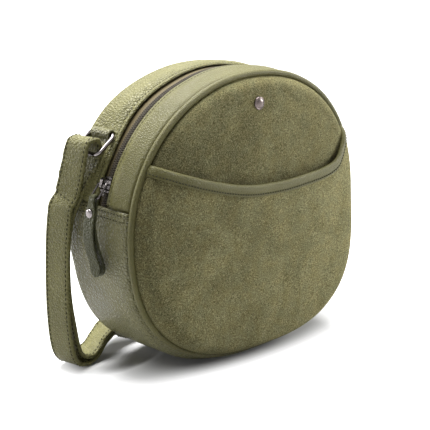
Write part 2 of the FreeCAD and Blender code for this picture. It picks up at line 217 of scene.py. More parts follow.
def spline(points, step):
    # Evenly spaced samples of a smooth line through the points, any number of columns
    p = np.asarray(points, float)
    ends = np.vstack([2 * p[0] - p[1], p, 2 * p[-1] - p[-2]])
    samples = []
    for i in range(len(p) - 1):
        a, b, c, d = ends[i:i + 4]
        t = np.linspace(0, 1, 24, endpoint=False)[:, None]
        samples.append(0.5 * (2 * b + (c - a) * t + (2 * a - 5 * b + 4 * c - d) * t ** 2
                              + (3 * b - a - 3 * c + d) * t ** 3))
    samples = np.vstack(samples + [p[-1:]])
    reach = np.r_[0, np.cumsum(np.linalg.norm(np.diff(samples[:, :3], axis=0), axis=1))]
    count = max(4, int(reach[-1] / step))
    even = np.linspace(0, reach[-1], count)
    return np.stack([np.interp(even, reach, samples[:, k]) for k in range(p.shape[1])], -1)


stitchGroove = {"inner": 0.0008, "outer": 0.0006}  # Reach of a groove on each side of its stitch row


def roundedSection(width, thick, edge, groove=0.0, grooveIn=0.0):
    # Flat strip section with rounded edges, and a shallow groove where a stitch row pulls it in
    half = width / 2
    high = thick / 2
    row = half - grooveIn
    across = np.r_[half * 0.5, half - edge]
    if grooveIn:
        groovePlaces = [row - stitchGroove["inner"], row, row + stitchGroove["outer"]]
        across = np.r_[half * 0.45, groovePlaces, half - edge]
    across = np.r_[-across[::-1], 0, across]
    dips = np.where(np.abs(np.abs(across) - row) < 1e-6, groove, 0) if grooveIn else 0 * across
    top = np.stack([across, high - dips], -1)
    turn = np.linspace(math.pi / 2, -math.pi / 2, 7)[1:-1]
    right = np.stack([half - edge + edge * np.cos(turn), high * np.sin(turn)], -1)
    left = np.stack([-half + edge - edge * np.cos(turn), -high * np.sin(turn)], -1)
    return np.vstack([top, right, -top, left])


# Shader node helpers

def addNode(tree, kind, settings=None, inputs=None):
    made = tree.nodes.new(kind)
    for name, value in (settings or {}).items():
        setattr(made, name, value)
    for name, value in (inputs or {}).items():
        if isinstance(value, bpy.types.NodeSocket):
            tree.links.new(value, made.inputs[name])
        else:
            made.inputs[name].default_value = value
    return made


def newGroup(name, inputs, outputs):
    tree = bpy.data.node_groups.new(name, "ShaderNodeTree")
    for title, kind, value in inputs:
        socket = tree.interface.new_socket(title, in_out="INPUT", socket_type=kind)
        if value is not None:
            socket.default_value = value
    for title, kind in outputs:
        tree.interface.new_socket(title, in_out="OUTPUT", socket_type=kind)
    return tree, tree.nodes.new("NodeGroupInput").outputs, tree.nodes.new("NodeGroupOutput").inputs


def blendMath(tree, operation, a, b):
    return addNode(tree, "ShaderNodeMath", {"operation": operation}, {0: a, 1: b}).outputs[0]


def mapValue(tree, value, low, high, toLow, toHigh):
    made = addNode(tree, "ShaderNodeMapRange", {"interpolation_type": "SMOOTHSTEP"},
                   {"Value": value, "From Min": low, "From Max": high, "To Min": toLow, "To Max": toHigh})
    return made.outputs["Result"]


pebble = {"warpScale": 260.0, "warpReach": 0.0014, "fineRatio": 2.6, "toneScale": 34.0, "grit": 0.28,
          "domeReach": 0.9, "domeEdge": 0.35}


def makePebbleGroup():
    # Pebbled hide: rounded cells parted by creases, a finer grain on top and a slow change of tone
    tree, given, out = newGroup("pebbleGrain", [
        ("Vector", "NodeSocketVector", None), ("Cells", "NodeSocketFloat", 700.0),
        ("Crease", "NodeSocketFloat", 0.22),
    ], [("Height", "NodeSocketFloat"), ("Creases", "NodeSocketFloat"), ("Tone", "NodeSocketFloat")])
    warp = addNode(tree, "ShaderNodeTexNoise", None,
                   {"Vector": given["Vector"], "Scale": pebble["warpScale"], "Detail": 2.0})
    push = addNode(tree, "ShaderNodeVectorMath", {"operation": "SCALE"},
                   {0: warp.outputs["Color"], "Scale": pebble["warpReach"]})
    place = addNode(tree, "ShaderNodeVectorMath", {"operation": "ADD"},
                    {0: given["Vector"], 1: push.outputs[0]}).outputs[0]
    sized = {"Vector": place, "Scale": given["Cells"]}
    edges = addNode(tree, "ShaderNodeTexVoronoi", {"feature": "DISTANCE_TO_EDGE"}, sized)
    centre = addNode(tree, "ShaderNodeTexVoronoi", {"feature": "F1"}, sized)
    fineScale = blendMath(tree, "MULTIPLY", given["Cells"], pebble["fineRatio"])
    fine = addNode(tree, "ShaderNodeTexNoise", None, {"Vector": place, "Scale": fineScale, "Detail": 3.0})
    slow = addNode(tree, "ShaderNodeTexNoise", None,
                   {"Vector": given["Vector"], "Scale": pebble["toneScale"], "Detail": 4.0})
    raised = mapValue(tree, edges.outputs["Distance"], 0.0, given["Crease"], 0.0, 1.0)
    dome = mapValue(tree, centre.outputs["Distance"], 0.0, pebble["domeReach"], 1.0, pebble["domeEdge"])
    body = blendMath(tree, "MULTIPLY", raised, dome)
    grit = blendMath(tree, "MULTIPLY", fine.outputs["Fac"], pebble["grit"])
    tree.links.new(blendMath(tree, "ADD", body, grit), out["Height"])
    tree.links.new(mapValue(tree, raised, 0.0, 1.0, 1.0, 0.0), out["Creases"])
    tree.links.new(mapValue(tree, slow.outputs["Fac"], 0.3, 0.7, 0.0, 1.0), out["Tone"])
    return tree


nap = {"patchScale": 110.0, "strokeScale": 30.0, "tuftShare": 0.65, "fibreShare": 0.35}


def makeNapGroup():
    # Suede: short fibres brushed different ways, light flecks, patches of hue and broad strokes
    tree, given, out = newGroup("suedeNap", [
        ("Vector", "NodeSocketVector", None), ("Fibres", "NodeSocketFloat", 900.0),
        ("Tufts", "NodeSocketFloat", 330.0),
    ], [("Height", "NodeSocketFloat"), ("Grain", "NodeSocketFloat"), ("Flecks", "NodeSocketFloat"),
        ("Stroke", "NodeSocketFloat"), ("Patch", "NodeSocketFloat")])

    def noise(scale, detail, roughness, distortion):
        made = addNode(tree, "ShaderNodeTexNoise", None,
                       {"Vector": given["Vector"], "Scale": scale, "Detail": detail, "Roughness": roughness,
                        "Distortion": distortion})
        return made.outputs["Fac"]

    fibres = noise(given["Fibres"], 3.0, 0.7, 0.0)
    tufts = noise(given["Tufts"], 2.0, 0.6, 0.4)
    patch = noise(nap["patchScale"], 4.0, 0.65, 0.3)
    stroke = noise(nap["strokeScale"], 4.0, 0.6, 0.8)
    coarse = blendMath(tree, "MULTIPLY", tufts, nap["tuftShare"])
    grain = blendMath(tree, "ADD", coarse, blendMath(tree, "MULTIPLY", fibres, nap["fibreShare"]))
    tree.links.new(blendMath(tree, "ADD", fibres, tufts), out["Height"])
    tree.links.new(mapValue(tree, grain, 0.34, 0.66, 0.0, 1.0), out["Grain"])
    tree.links.new(mapValue(tree, tufts, 0.56, 0.72, 0.0, 1.0), out["Flecks"])
    tree.links.new(mapValue(tree, stroke, 0.30, 0.70, 0.0, 1.0), out["Stroke"])
    tree.links.new(mapValue(tree, patch, 0.32, 0.68, 0.0, 1.0), out["Patch"])
    return tree


pebbleGroup = makePebbleGroup()
napGroup = makeNapGroup()


def useGroup(tree, group, inputs):
    return addNode(tree, "ShaderNodeGroup", {"node_tree": group}, inputs).outputs


def startMaterial(name):
    material = bpy.data.materials.new(name)
    material.use_nodes = True
    tree = material.node_tree
    shader = tree.nodes["Principled BSDF"]
    place = tree.nodes.new("ShaderNodeTexCoord").outputs["Object"]
    return material, tree, shader, place


def mixColour(tree, factor, a, b, blend="MIX"):
    made = addNode(tree, "ShaderNodeMix", {"data_type": "RGBA", "blend_type": blend})
    for socket, value in ((made.inputs[0], factor), (made.inputs[6], a), (made.inputs[7], b)):
        if isinstance(value, bpy.types.NodeSocket):
            tree.links.new(value, socket)
        else:
            socket.default_value = value if socket.type != "RGBA" or len(value) == 4 else (*value, 1)
    return made.outputs[2]


def addBump(tree, shader, height, strength, distance):
    bump = addNode(tree, "ShaderNodeBump", None,
                   {"Strength": strength, "Distance": distance, "Height": height})
    tree.links.new(bump.outputs["Normal"], shader.inputs["Normal"])


def makeLeather(name, finish):
    material, tree, shader, place = startMaterial(name)
    grain = useGroup(tree, pebbleGroup,
                     {"Vector": place, "Cells": finish["cells"], "Crease": finish["crease"]})
    toned = mixColour(tree, grain["Tone"], finish["dark"], finish["light"])
    # Painted shade: the creases between the pebbles are darkened towards the crease colour
    creased = mixColour(tree, blendMath(tree, "MULTIPLY", grain["Creases"], finish["creaseShade"]),
                        toned, finish["creaseShadeColour"])
    tree.links.new(creased, shader.inputs["Base Color"])
    rough = mapValue(tree, grain["Height"], 0.0, 1.1, finish["roughLow"], finish["roughHigh"])
    tree.links.new(rough, shader.inputs["Roughness"])
    shader.inputs["Specular IOR Level"].default_value = finish["gloss"]
    addBump(tree, shader, grain["Height"], finish["bump"], finish["bumpDepth"])
    return material


def makeSuede(name, finish):
    material, tree, shader, place = startMaterial(name)
    brushed = useGroup(tree, napGroup,
                       {"Vector": place, "Fibres": finish["fibres"], "Tufts": finish["tufts"]})
    fine = mixColour(tree, brushed["Grain"], finish["dark"], finish["light"])
    hue = mixColour(tree, brushed["Patch"], finish["warm"], finish["cool"])
    tinted = mixColour(tree, 1.0, fine, hue, "MULTIPLY")
    # Painted shade and light: the suede is darker towards the left (-X) and lighter towards the right, as the
    # light falls on the front
    side = addNode(tree, "ShaderNodeSeparateXYZ", None, {"Vector": place}).outputs["X"]
    lean = mapValue(tree, side, -finish["sideShadeReach"], finish["sideShadeReach"], -finish["lean"], finish["lean"])
    strokeAndSideShade = blendMath(tree, "ADD", brushed["Stroke"], lean)
    tone = mixColour(tree, strokeAndSideShade, finish["strokeLow"], finish["strokeHigh"])
    stroked = mixColour(tree, 1.0, tinted, tone, "MULTIPLY")
    flecked = mixColour(tree, blendMath(tree, "MULTIPLY", brushed["Flecks"], finish["fleckShare"]),
                        stroked, finish["fleckColour"])
    tree.links.new(flecked, shader.inputs["Base Color"])
    shader.inputs["Roughness"].default_value = finish["rough"]
    shader.inputs["Specular IOR Level"].default_value = finish["gloss"]
    shader.inputs["Sheen Weight"].default_value = finish["sheen"]
    shader.inputs["Sheen Roughness"].default_value = finish["sheenRough"]
    shader.inputs["Sheen Tint"].default_value = (*finish["light"], 1)
    addBump(tree, shader, brushed["Height"], finish["bump"], finish["bumpDepth"])
    return material


scuffLook = {"bump": 0.08, "bumpDepth": 0.0001}


def makeMetal(name, finish):
    material, tree, shader, place = startMaterial(name)
    scuff = addNode(tree, "ShaderNodeTexNoise", None,
                    {"Vector": place, "Scale": finish["scuffs"], "Detail": 4.0, "Roughness": 0.65})
    tone = mixColour(tree, scuff.outputs["Fac"], finish["dark"], finish["light"])
    tree.links.new(tone, shader.inputs["Base Color"])
    shader.inputs["Metallic"].default_value = 1.0
    rough = mapValue(tree, scuff.outputs["Fac"], 0.3, 0.75, finish["roughLow"], finish["roughHigh"])
    tree.links.new(rough, shader.inputs["Roughness"])
    addBump(tree, shader, scuff.outputs["Fac"], scuffLook["bump"], scuffLook["bumpDepth"])
    return material


weaveLook = {"bend": 1.2, "toneScale": 60.0, "gapShare": 0.35, "gloss": 0.25, "bump": 0.35,
             "bumpDepth": 0.0002}


def makeWoven(name, finish):
    # Fine ribbed cloth for the zip tape and the lining
    material, tree, shader, place = startMaterial(name)
    waves = []
    for axis in ("X", "Y", "Z"):
        wave = addNode(tree, "ShaderNodeTexWave", {"bands_direction": axis},
                       {"Vector": place, "Scale": finish["threads"], "Distortion": weaveLook["bend"],
                        "Detail": 1.0})
        waves.append(wave.outputs["Fac"])
    weave = blendMath(tree, "MULTIPLY", blendMath(tree, "ADD", waves[0], waves[2]), waves[1])
    slow = addNode(tree, "ShaderNodeTexNoise", None,
                   {"Vector": place, "Scale": weaveLook["toneScale"], "Detail": 3.0})
    tone = mixColour(tree, slow.outputs["Fac"], finish["dark"], finish["light"])
    gaps = mapValue(tree, weave, 0.0, 1.2, weaveLook["gapShare"], 0.0)
    threaded = mixColour(tree, gaps, tone, finish["gap"])
    tree.links.new(threaded, shader.inputs["Base Color"])
    shader.inputs["Roughness"].default_value = finish["rough"]
    shader.inputs["Specular IOR Level"].default_value = weaveLook["gloss"]
    addBump(tree, shader, weave, weaveLook["bump"], weaveLook["bumpDepth"])
    return material


twistLook = {"scale": 900.0, "rough": 0.6, "gloss": 0.15, "bump": 0.3, "bumpDepth": 0.0001}


def makeThread(name, finish):
    material, tree, shader, place = startMaterial(name)
    twist = addNode(tree, "ShaderNodeTexWave", {"bands_direction": "DIAGONAL"},
                    {"Vector": place, "Scale": twistLook["scale"], "Distortion": 1.0})
    tone = mixColour(tree, twist.outputs["Fac"], finish["dark"], finish["light"])
    tree.links.new(tone, shader.inputs["Base Color"])
    shader.inputs["Roughness"].default_value = twistLook["rough"]
    shader.inputs["Specular IOR Level"].default_value = twistLook["gloss"]
    addBump(tree, shader, twist.outputs["Fac"], twistLook["bump"], twistLook["bumpDepth"])
    return material


leatherFinish = {
    "dark": (0.117, 0.110, 0.034), "light": (0.144, 0.135, 0.043),
    "creaseShadeColour": (0.060, 0.056, 0.019), "creaseShade": 0.30,
    "cells": 430.0, "crease": 0.20, "roughLow": 0.50, "roughHigh": 0.36, "gloss": 0.50,
    "bump": 1.0, "bumpDepth": 0.0008,
}
strapFinish = dict(leatherFinish, dark=(0.134, 0.126, 0.040), light=(0.166, 0.155, 0.051), cells=520.0,
                   creaseShade=0.25, bumpDepth=0.0006, gloss=0.32, roughLow=0.56, roughHigh=0.46)
pullFinish = dict(leatherFinish, dark=(0.034, 0.036, 0.015), light=(0.050, 0.052, 0.022), gloss=0.16,
                  bumpDepth=0.0006)
smoothFinish = dict(leatherFinish, dark=(0.103, 0.096, 0.030), light=(0.126, 0.117, 0.039), cells=760.0,
                    creaseShade=0.25, bump=0.6, bumpDepth=0.0005, gloss=0.22, roughLow=0.50, roughHigh=0.40)
suedeFinish = {
    "dark": (0.060, 0.055, 0.024), "light": (0.305, 0.283, 0.150),
    # lean and sideShadeReach set the painted side shade, darker to the left and lighter to the right
    "lean": 0.38, "sideShadeReach": 0.11, "rough": 0.95, "gloss": 0.10, "sheenRough": 0.5,
    "warm": (1.03, 0.99, 0.88), "cool": (0.97, 1.0, 1.00),
    "strokeLow": (0.74, 0.74, 0.72), "strokeHigh": (1.16, 1.16, 1.16),
    "fleckColour": (0.400, 0.370, 0.190), "fleckShare": 0.70,
    "fibres": 2900.0, "tufts": 1320.0, "sheen": 0.40, "bump": 0.7, "bumpDepth": 0.0005,
}
# Painted shade: the front panel's suede is a darker copy of the pocket's, to keep it as dark as the pocket
# where it faces more of the light
shadedPanelFinish = dict(suedeFinish, dark=(0.050, 0.046, 0.020), light=(0.256, 0.237, 0.124),
                   fleckColour=(0.350, 0.323, 0.165))
steelFinish = {"dark": (0.11, 0.100, 0.100), "light": (0.28, 0.255, 0.255), "scuffs": 900.0,
               "roughLow": 0.10, "roughHigh": 0.24}
sliderFinish = {"dark": (0.040, 0.036, 0.035), "light": (0.150, 0.136, 0.134), "scuffs": 1300.0,
                "roughLow": 0.10, "roughHigh": 0.26}
nickelFinish = {"dark": (0.085, 0.068, 0.064), "light": (0.17, 0.138, 0.130), "scuffs": 700.0,
                "roughLow": 0.22, "roughHigh": 0.40}
tapeFinish = {"dark": (0.090, 0.070, 0.028), "light": (0.132, 0.103, 0.045), "gap": (0.05, 0.038, 0.017),
              "threads": 420.0, "rough": 0.7}
liningFinish = {"dark": (0.20, 0.19, 0.13), "light": (0.27, 0.26, 0.19), "gap": (0.12, 0.11, 0.07),
                "threads": 320.0, "rough": 0.8}
coilFinish = {"dark": (0.026, 0.021, 0.014), "light": (0.056, 0.046, 0.032)}
# The thread's colour is partly its own and partly painted shade, darker for the dips the stitches sink into
threadAndShadeFinish = {"dark": (0.030, 0.028, 0.012), "light": (0.055, 0.051, 0.023)}

pebbledLeather = makeLeather("pebbledLeather", leatherFinish)
smoothLeather = makeLeather("smoothLeather", smoothFinish)
strapLeather = makeLeather("strapLeather", strapFinish)
pullLeather = makeLeather("pullLeather", pullFinish)
suede = makeSuede("brushedSuede", suedeFinish)
shadedPanelSuede = makeSuede("shadedPanelSuede", shadedPanelFinish)
chrome = makeMetal("polishedSteel", steelFinish)
darkChrome = makeMetal("sliderSteel", sliderFinish)
gunmetal = makeMetal("agedNickel", nickelFinish)
zipCloth = makeWoven("zipTapeCloth", tapeFinish)
liningCloth = makeWoven("liningCloth", liningFinish)
coilPlastic = makeThread("zipCoil", coilFinish)
thread = makeThread("sewingThread", threadAndShadeFinish)
print("finishes made")


# Geometry Nodes trees for what repeats along a line

def newTree(name, sizes):
    tree = bpy.data.node_groups.new(name, "GeometryNodeTree")
    tree.interface.new_socket("Line", in_out="INPUT", socket_type="NodeSocketGeometry")
    for title, value in sizes:
        socket = tree.interface.new_socket(title, in_out="INPUT", socket_type="NodeSocketFloat")
        socket.default_value = value
    tree.interface.new_socket("Material", in_out="INPUT", socket_type="NodeSocketMaterial")
    tree.interface.new_socket("Geometry", in_out="OUTPUT", socket_type="NodeSocketGeometry")
    return tree, tree.nodes.new("NodeGroupInput").outputs, tree.nodes.new("NodeGroupOutput").inputs


def closeTree(tree, given, out, shape):
    solid = addNode(tree, "GeometryNodeRealizeInstances", None, {"Geometry": shape})
    soft = addNode(tree, "GeometryNodeSetShadeSmooth", None, {"Geometry": solid.outputs[0]})
    coated = addNode(tree, "GeometryNodeSetMaterial", None,
                     {"Geometry": soft.outputs[0], "Material": given["Material"]})
    tree.links.new(coated.outputs[0], out["Geometry"])


def scaledVector(tree, x, y, z):
    return addNode(tree, "ShaderNodeCombineXYZ", None, {"X": x, "Y": y, "Z": z}).outputs[0]


def makeStitchTree():
    # A row of thread beads lying along a line
    tree, given, out = newTree("stitchRow", [("Pitch", 0.003), ("Length", 0.0021), ("Radius", 0.0003)])
    line = addNode(tree, "GeometryNodeMeshToCurve", None, {"Mesh": given["Line"]})
    spots = addNode(tree, "GeometryNodeCurveToPoints", {"mode": "LENGTH"},
                    {"Curve": line.outputs[0], "Length": given["Pitch"]})
    bead = addNode(tree, "GeometryNodeMeshUVSphere", None, {"Segments": 8, "Rings": 6, "Radius": 1.0})
    half = blendMath(tree, "MULTIPLY", given["Length"], 0.5)
    size = scaledVector(tree, given["Radius"], given["Radius"], half)
    shaped = addNode(tree, "GeometryNodeTransform", None, {"Geometry": bead.outputs["Mesh"], "Scale": size})
    row = addNode(tree, "GeometryNodeInstanceOnPoints", None,
                  {"Points": spots.outputs["Points"], "Instance": shaped.outputs[0],
                   "Rotation": spots.outputs["Rotation"]})
    closeTree(tree, given, out, row.outputs[0])
    return tree


def makeToothTree():
    # Zip coil: a rounded bar across the tape and a head at its inner end, repeated along a line
    tree, given, out = newTree("zipTeeth",
                               [("Pitch", 0.0013), ("Reach", 0.0024), ("Radius", 0.00052), ("Side", 1.0)])
    line = addNode(tree, "GeometryNodeMeshToCurve", None, {"Mesh": given["Line"]})
    spots = addNode(tree, "GeometryNodeCurveToPoints", {"mode": "LENGTH"},
                    {"Curve": line.outputs[0], "Length": given["Pitch"]})
    bar = addNode(tree, "GeometryNodeMeshCylinder", None, {"Vertices": 8, "Radius": 1.0, "Depth": 1.0})
    barSize = scaledVector(tree, given["Radius"], given["Radius"], given["Reach"])
    turned = addNode(tree, "GeometryNodeTransform", None,
                     {"Geometry": bar.outputs["Mesh"], "Scale": barSize, "Rotation": (math.pi / 2, 0, 0)})
    head = addNode(tree, "GeometryNodeMeshUVSphere", None, {"Segments": 8, "Rings": 6, "Radius": 1.0})
    headRadius = blendMath(tree, "MULTIPLY", given["Radius"], 1.25)
    inner = blendMath(tree, "MULTIPLY", blendMath(tree, "MULTIPLY", given["Reach"], -0.5), given["Side"])
    headSize = scaledVector(tree, headRadius, headRadius, headRadius)
    placed = addNode(tree, "GeometryNodeTransform", None,
                     {"Geometry": head.outputs["Mesh"], "Scale": headSize,
                      "Translation": scaledVector(tree, 0.0, inner, 0.0)})
    outer = blendMath(tree, "MULTIPLY", inner, -1.0)
    heel = addNode(tree, "GeometryNodeTransform", None,
                   {"Geometry": head.outputs["Mesh"],
                    "Scale": scaledVector(tree, given["Radius"], given["Radius"], given["Radius"]),
                    "Translation": scaledVector(tree, 0.0, outer, 0.0)})
    tooth = tree.nodes.new("GeometryNodeJoinGeometry")
    for part in (turned, placed, heel):
        tree.links.new(part.outputs[0], tooth.inputs[0])
    row = addNode(tree, "GeometryNodeInstanceOnPoints", None,
                  {"Points": spots.outputs["Points"], "Instance": tooth.outputs[0]})
    closeTree(tree, given, out, row.outputs[0])
    return tree


stitchTree = makeStitchTree()
toothTree = makeToothTree()


def runTree(name, tree, lines, sizes, material):
    # Puts one tree on a set of lines and keeps the result as a plain mesh
    points = np.vstack(lines)
    edges = []
    start = 0
    for line in lines:
        edges += [(start + i, start + i + 1) for i in range(len(line) - 1)]
        start += len(line)
    mesh = bpy.data.meshes.new(name)
    mesh.from_pydata([tuple(p) for p in points], edges, [])
    piece = bpy.data.objects.new(name, mesh)
    scene.collection.objects.link(piece)
    change = piece.modifiers.new("repeat", "NODES")
    change.node_group = tree
    for socket in tree.interface.items_tree:
        if socket.in_out == "INPUT" and socket.name in sizes:
            change[socket.identifier] = sizes[socket.name]
        if socket.in_out == "INPUT" and socket.name == "Material":
            change[socket.identifier] = material
    return bakeModifiers(piece)


def stitches(name, lines, body, pitch=0.0030, length=0.0021, radius=0.00030, ride=True):
    piece = runTree(name, stitchTree, lines, {"Pitch": pitch, "Length": length, "Radius": radius}, thread)
    if ride:
        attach(piece, body)
    return piece


# Domed faces of the bag
sagShape = {"from": -0.1, "full": 0.7, "rightFrom": -0.4, "leftShare": 0.55}
crownPower = 2.2
domeRipple = {"from": 0.004, "full": 0.020, "wave": 0.07}
edgeRings = np.array([0, 0.0002, 0.0005, 0.001, 0.0016, 0.0023, 0.0031, 0.004, 0.005, 0.0062, 0.0076, 0.0092])
crownRings = {"from": 0.0115, "stop": 0.003, "count": 30}
reachRadius = 0.105


def domeDepth(dome, inset, turn):
    # Distance from the bag's middle plane at an inset from the seam line; the lower edge sags fuller
    e = np.clip((inset - dome["inset"]) / dome["edgeWidth"], 0, 1)
    roll = (1 - (1 - e) ** dome["edgePower"]) ** (1 / dome["edgePower"])
    c = np.clip((inset - dome["inset"]) / dome["crownReach"], 0, 1)
    right = smooth(sagShape["rightFrom"], sagShape["full"], -np.cos(turn))
    share = sagShape["leftShare"] + (1 - sagShape["leftShare"]) * right
    below = smooth(sagShape["from"], sagShape["full"], -np.sin(turn)) * share
    edge = dome["edgeHeight"] + dome["sag"] * below
    crown = dome["crown"] + dome["edgeHeight"] - edge
    return dome["base"] + edge * roll + crown * (1 - (1 - c) ** crownPower)


def domePoint(dome, side, x, z):
    # Point of the dome over (x, z), and its inset
    cz = seam["fullCentre"]
    turn = np.arctan2(z - cz, -x)
    ox, oz = seamBase(turn)
    share = np.hypot(x, z - cz) / np.hypot(ox, oz - cz)
    inset = (1 - share) * reachRadius
    depth = domeDepth(dome, inset, turn)
    uneven = (dome["uneven"] * smooth(domeRipple["from"], domeRipple["full"], inset)
              * ripple(x, 0 * x, z, domeRipple["wave"], dome["seed"]))
    if "gape" in dome:
        near = np.exp(-((mouthHeight(x) - z) / dome["gapeReach"]) ** 2)
        uneven = uneven + dome["gape"] * near * smooth(dome["gapeFrom"], dome["gapeFull"], inset)
    return np.stack([x, side * (depth + uneven), z], -1), inset


def domeMesh(name, dome, side, columns=320):
    stop = reachRadius - dome["inset"] - crownRings["stop"]
    rings = np.r_[edgeRings, np.linspace(crownRings["from"], stop, crownRings["count"])] + dome["inset"]
    turns = np.linspace(0, 2 * math.pi, columns, endpoint=False)
    cz = seam["fullCentre"]
    ox, oz = seamBase(turns)
    rows = []
    for inset in rings:
        share = 1 - inset / reachRadius
        if side > 0:
            share = share * (1 - drawnIn(turns) / reachRadius * share ** 4)
        x = ox * share
        z = cz + (oz - cz) * share
        rows.append(domePoint(dome, side, x, z)[0])
    points = np.vstack(rows + [domePoint(dome, side, np.array([1e-6]), np.array([cz]))[0]])
    faces = gridFaces(len(rings), columns, closeCols=True, flip=side > 0)
    last = (len(rings) - 1) * columns
    middle = len(points) - 1
    for j in range(columns):
        a = last + j
        b = last + (j + 1) % columns
        faces.append((a, b, middle) if side > 0 else (a, middle, b))
    return newMesh(name, points, faces)


frontDome = {"inset": 0.0019, "base": 0.0292, "edgeHeight": 0.0078, "edgeWidth": 0.0095, "edgePower": 2.2,
             "crown": 0.0074, "crownReach": 0.080, "sag": 0.0, "uneven": 0.00035, "seed": 1.3}
pocketDome = {"inset": 0.0011, "base": 0.0300, "edgeHeight": 0.0082, "edgeWidth": 0.0100, "edgePower": 2.2,
              "crown": 0.0096, "crownReach": 0.085, "sag": 0.0076, "uneven": 0.0004, "seed": 2.9,
              "gape": 0.0026, "gapeReach": 0.020, "gapeFrom": 0.002, "gapeFull": 0.030}
backDome = {"inset": 0.0060, "base": 0.0362, "edgeHeight": 0.0006, "edgeWidth": 0.0080, "edgePower": 2.2,
            "crown": 0.0016, "crownReach": 0.075, "sag": 0.0, "uneven": 0.0002, "seed": 4.1}
panelThick = 0.0016
mouth = {"low": 0.1275, "width": 0.0074, "thick": 0.0011, "stitchIn": 0.0017,
         "edgeDrop": 0.0006, "pocketThick": 0.0013,
         "endFrom": 0.075, "endTo": 0.115, "endGap": 0.0002,
         "line": [(-0.112, 0.1615), (-0.080, 0.1480), (-0.050, 0.1375), (-0.020, 0.1300), (0.010, 0.1275),
                  (0.040, 0.1280), (0.060, 0.1292), (0.075, 0.1325), (0.084, 0.1395), (0.091, 0.1490),
                  (0.101, 0.1630)]}
mouthTable = spline(mouth["line"], 0.0010)


def mouthHeight(x):
    return np.interp(x, mouthTable[:, 0], mouthTable[:, 1])


def makeFrontPanel():
    panel = thicken(domeMesh("frontPanel", frontDome, -1), panelThick)
    return finishPiece(panel, shadedPanelSuede, "front_half", ["front_panel", "front_stiffener"])


def makeBackPanel():
    panel = thicken(domeMesh("backPanel", backDome, 1), panelThick)
    return finishPiece(panel, pebbledLeather, "bag_body", ["back_panel", "back_stiffener"])


def makePocket():
    pocket = domeMesh("frontPocket", pocketDome, -1)
    shape = bmesh.new()
    shape.from_mesh(pocket.data)
    for v in shape.verts:
        v.co.z -= float(mouthHeight(v.co.x)) - mouth["low"]
    cut = (0, 0, mouth["low"] - mouth["edgeDrop"])
    bmesh.ops.bisect_plane(shape, geom=shape.verts[:] + shape.edges[:] + shape.faces[:], dist=1e-6,
                           plane_co=cut, plane_no=(0, 0, 1), clear_outer=True)
    for v in shape.verts:
        v.co.z += float(mouthHeight(v.co.x)) - mouth["low"]
    shape.to_mesh(pocket.data)
    shape.free()
    thicken(pocket, mouth["pocketThick"])
    return finishPiece(pocket, suede, "front_half", ["front_pocket"])


def mouthSpan(shares, drop):
    # Places across the pocket on a line below the mouth, from the seam on the left to the right
    ends = []
    for side in (-1, 1):
        xs = np.linspace(mouth["endFrom"], mouth["endTo"], 500)
        insets = domePoint(pocketDome, -1, side * xs, mouthHeight(side * xs) - drop)[1]
        ends.append(side * (float(np.interp(-pocketDome["inset"], -insets, xs)) - mouth["endGap"]))
    return ends[0] + (ends[1] - ends[0]) * shares


def pocketFace(xs, drop, lift):
    # Points of the pocket's face below the mouth line, raised square to the face
    z = mouthHeight(xs) - drop
    p = domePoint(pocketDome, -1, xs, z)[0]
    step = 0.0003
    px = domePoint(pocketDome, -1, xs + step, z)[0] - domePoint(pocketDome, -1, xs - step, z)[0]
    pz = domePoint(pocketDome, -1, xs, z + step)[0] - domePoint(pocketDome, -1, xs, z - step)[0]
    normal = np.cross(px, pz)
    normal /= np.linalg.norm(normal, axis=1)[:, None]
    return p + normal * lift


def makeBinding():
    # Leather strip folded over the pocket's mouth, front leg stitched down, back leg inside
    along = 0.5 + 0.5 * np.sin(np.linspace(-1, 1, 180) * math.pi / 2)
    t = mouth["thick"]
    wide = mouth["width"]
    row = wide - mouth["stitchIn"]
    # Each point is a drop below the mouth line and a lift off the pocket's face
    section = [(wide, 0.0), (wide, t * 0.7), (wide - 0.0006, t), (row, t * 0.78), (wide - 0.003, t * 1.05),
               (wide * 0.4, t * 1.15), (0.0012, t * 1.1), (0.0002, t * 0.9), (-0.0006, t * 0.3),
               (-0.0009, -0.0005), (-0.0006, -0.0013), (0.0004, -0.0019), (0.003, -0.0022),
               (wide * 0.9, -0.0021), (wide * 0.9, -0.0014), (0.002, -0.0014)]
    rows = np.stack([pocketFace(mouthSpan(along, drop), drop, lift) for drop, lift in section], 1)
    band = outward(newMesh("pocketBinding", rows, tubeFaces(len(along), len(section))))
    finishPiece(band, smoothLeather, "front_half", ["pocket_binding"])
    line = pocketFace(mouthSpan(along, row), row, t)
    stitches("bindingStitches", [line], "front_half",
             pitch=0.0024, length=0.0016, radius=0.00052)
    return band


pipe = {"turns": 420, "sides": 14, "wobble": 0.05, "wobbleWave": 0.035}
frontPipe = {"y": -0.0300, "out": 0.0000, "radius": 0.0023}
backPipe = {"y": 0.0366, "out": -0.0046, "radius": 0.0018}


def makePiping(name, cord, body, stands):
    turns = np.linspace(0, 2 * math.pi, pipe["turns"], endpoint=False)
    wobble = 1 + pipe["wobble"] * ripple(np.cos(turns) * 0.1, 0 * turns, np.sin(turns) * 0.1,
                                         pipe["wobbleWave"], 6.0 + cord["y"])
    ring = np.linspace(0, 2 * math.pi, pipe["sides"], endpoint=False)
    edge = cord["out"] - (drawnIn(turns) if cord["y"] > 0 else 0 * turns)
    out = edge[:, None] + cord["radius"] * np.cos(ring)[None, :] * wobble[:, None]
    y = cord["y"] + cord["radius"] * np.sin(ring)[None, :] * wobble[:, None]
    points = seamPoints(turns[:, None], y, out)
    faces = gridFaces(len(turns), len(ring), closeRows=True, closeCols=True)
    made = outward(newMesh(name, points, faces))
    return finishPiece(made, smoothLeather, body, stands)


makeFrontPanel()
makeBackPanel()
makePocket()
makeBinding()
makePiping("frontPiping", frontPipe, "front_half", ["front_piping", "front_piping_cord"])
makePiping("backPiping", backPipe, "bag_body", ["back_piping", "back_piping_cord"])
print("front, back, pocket and piping made")


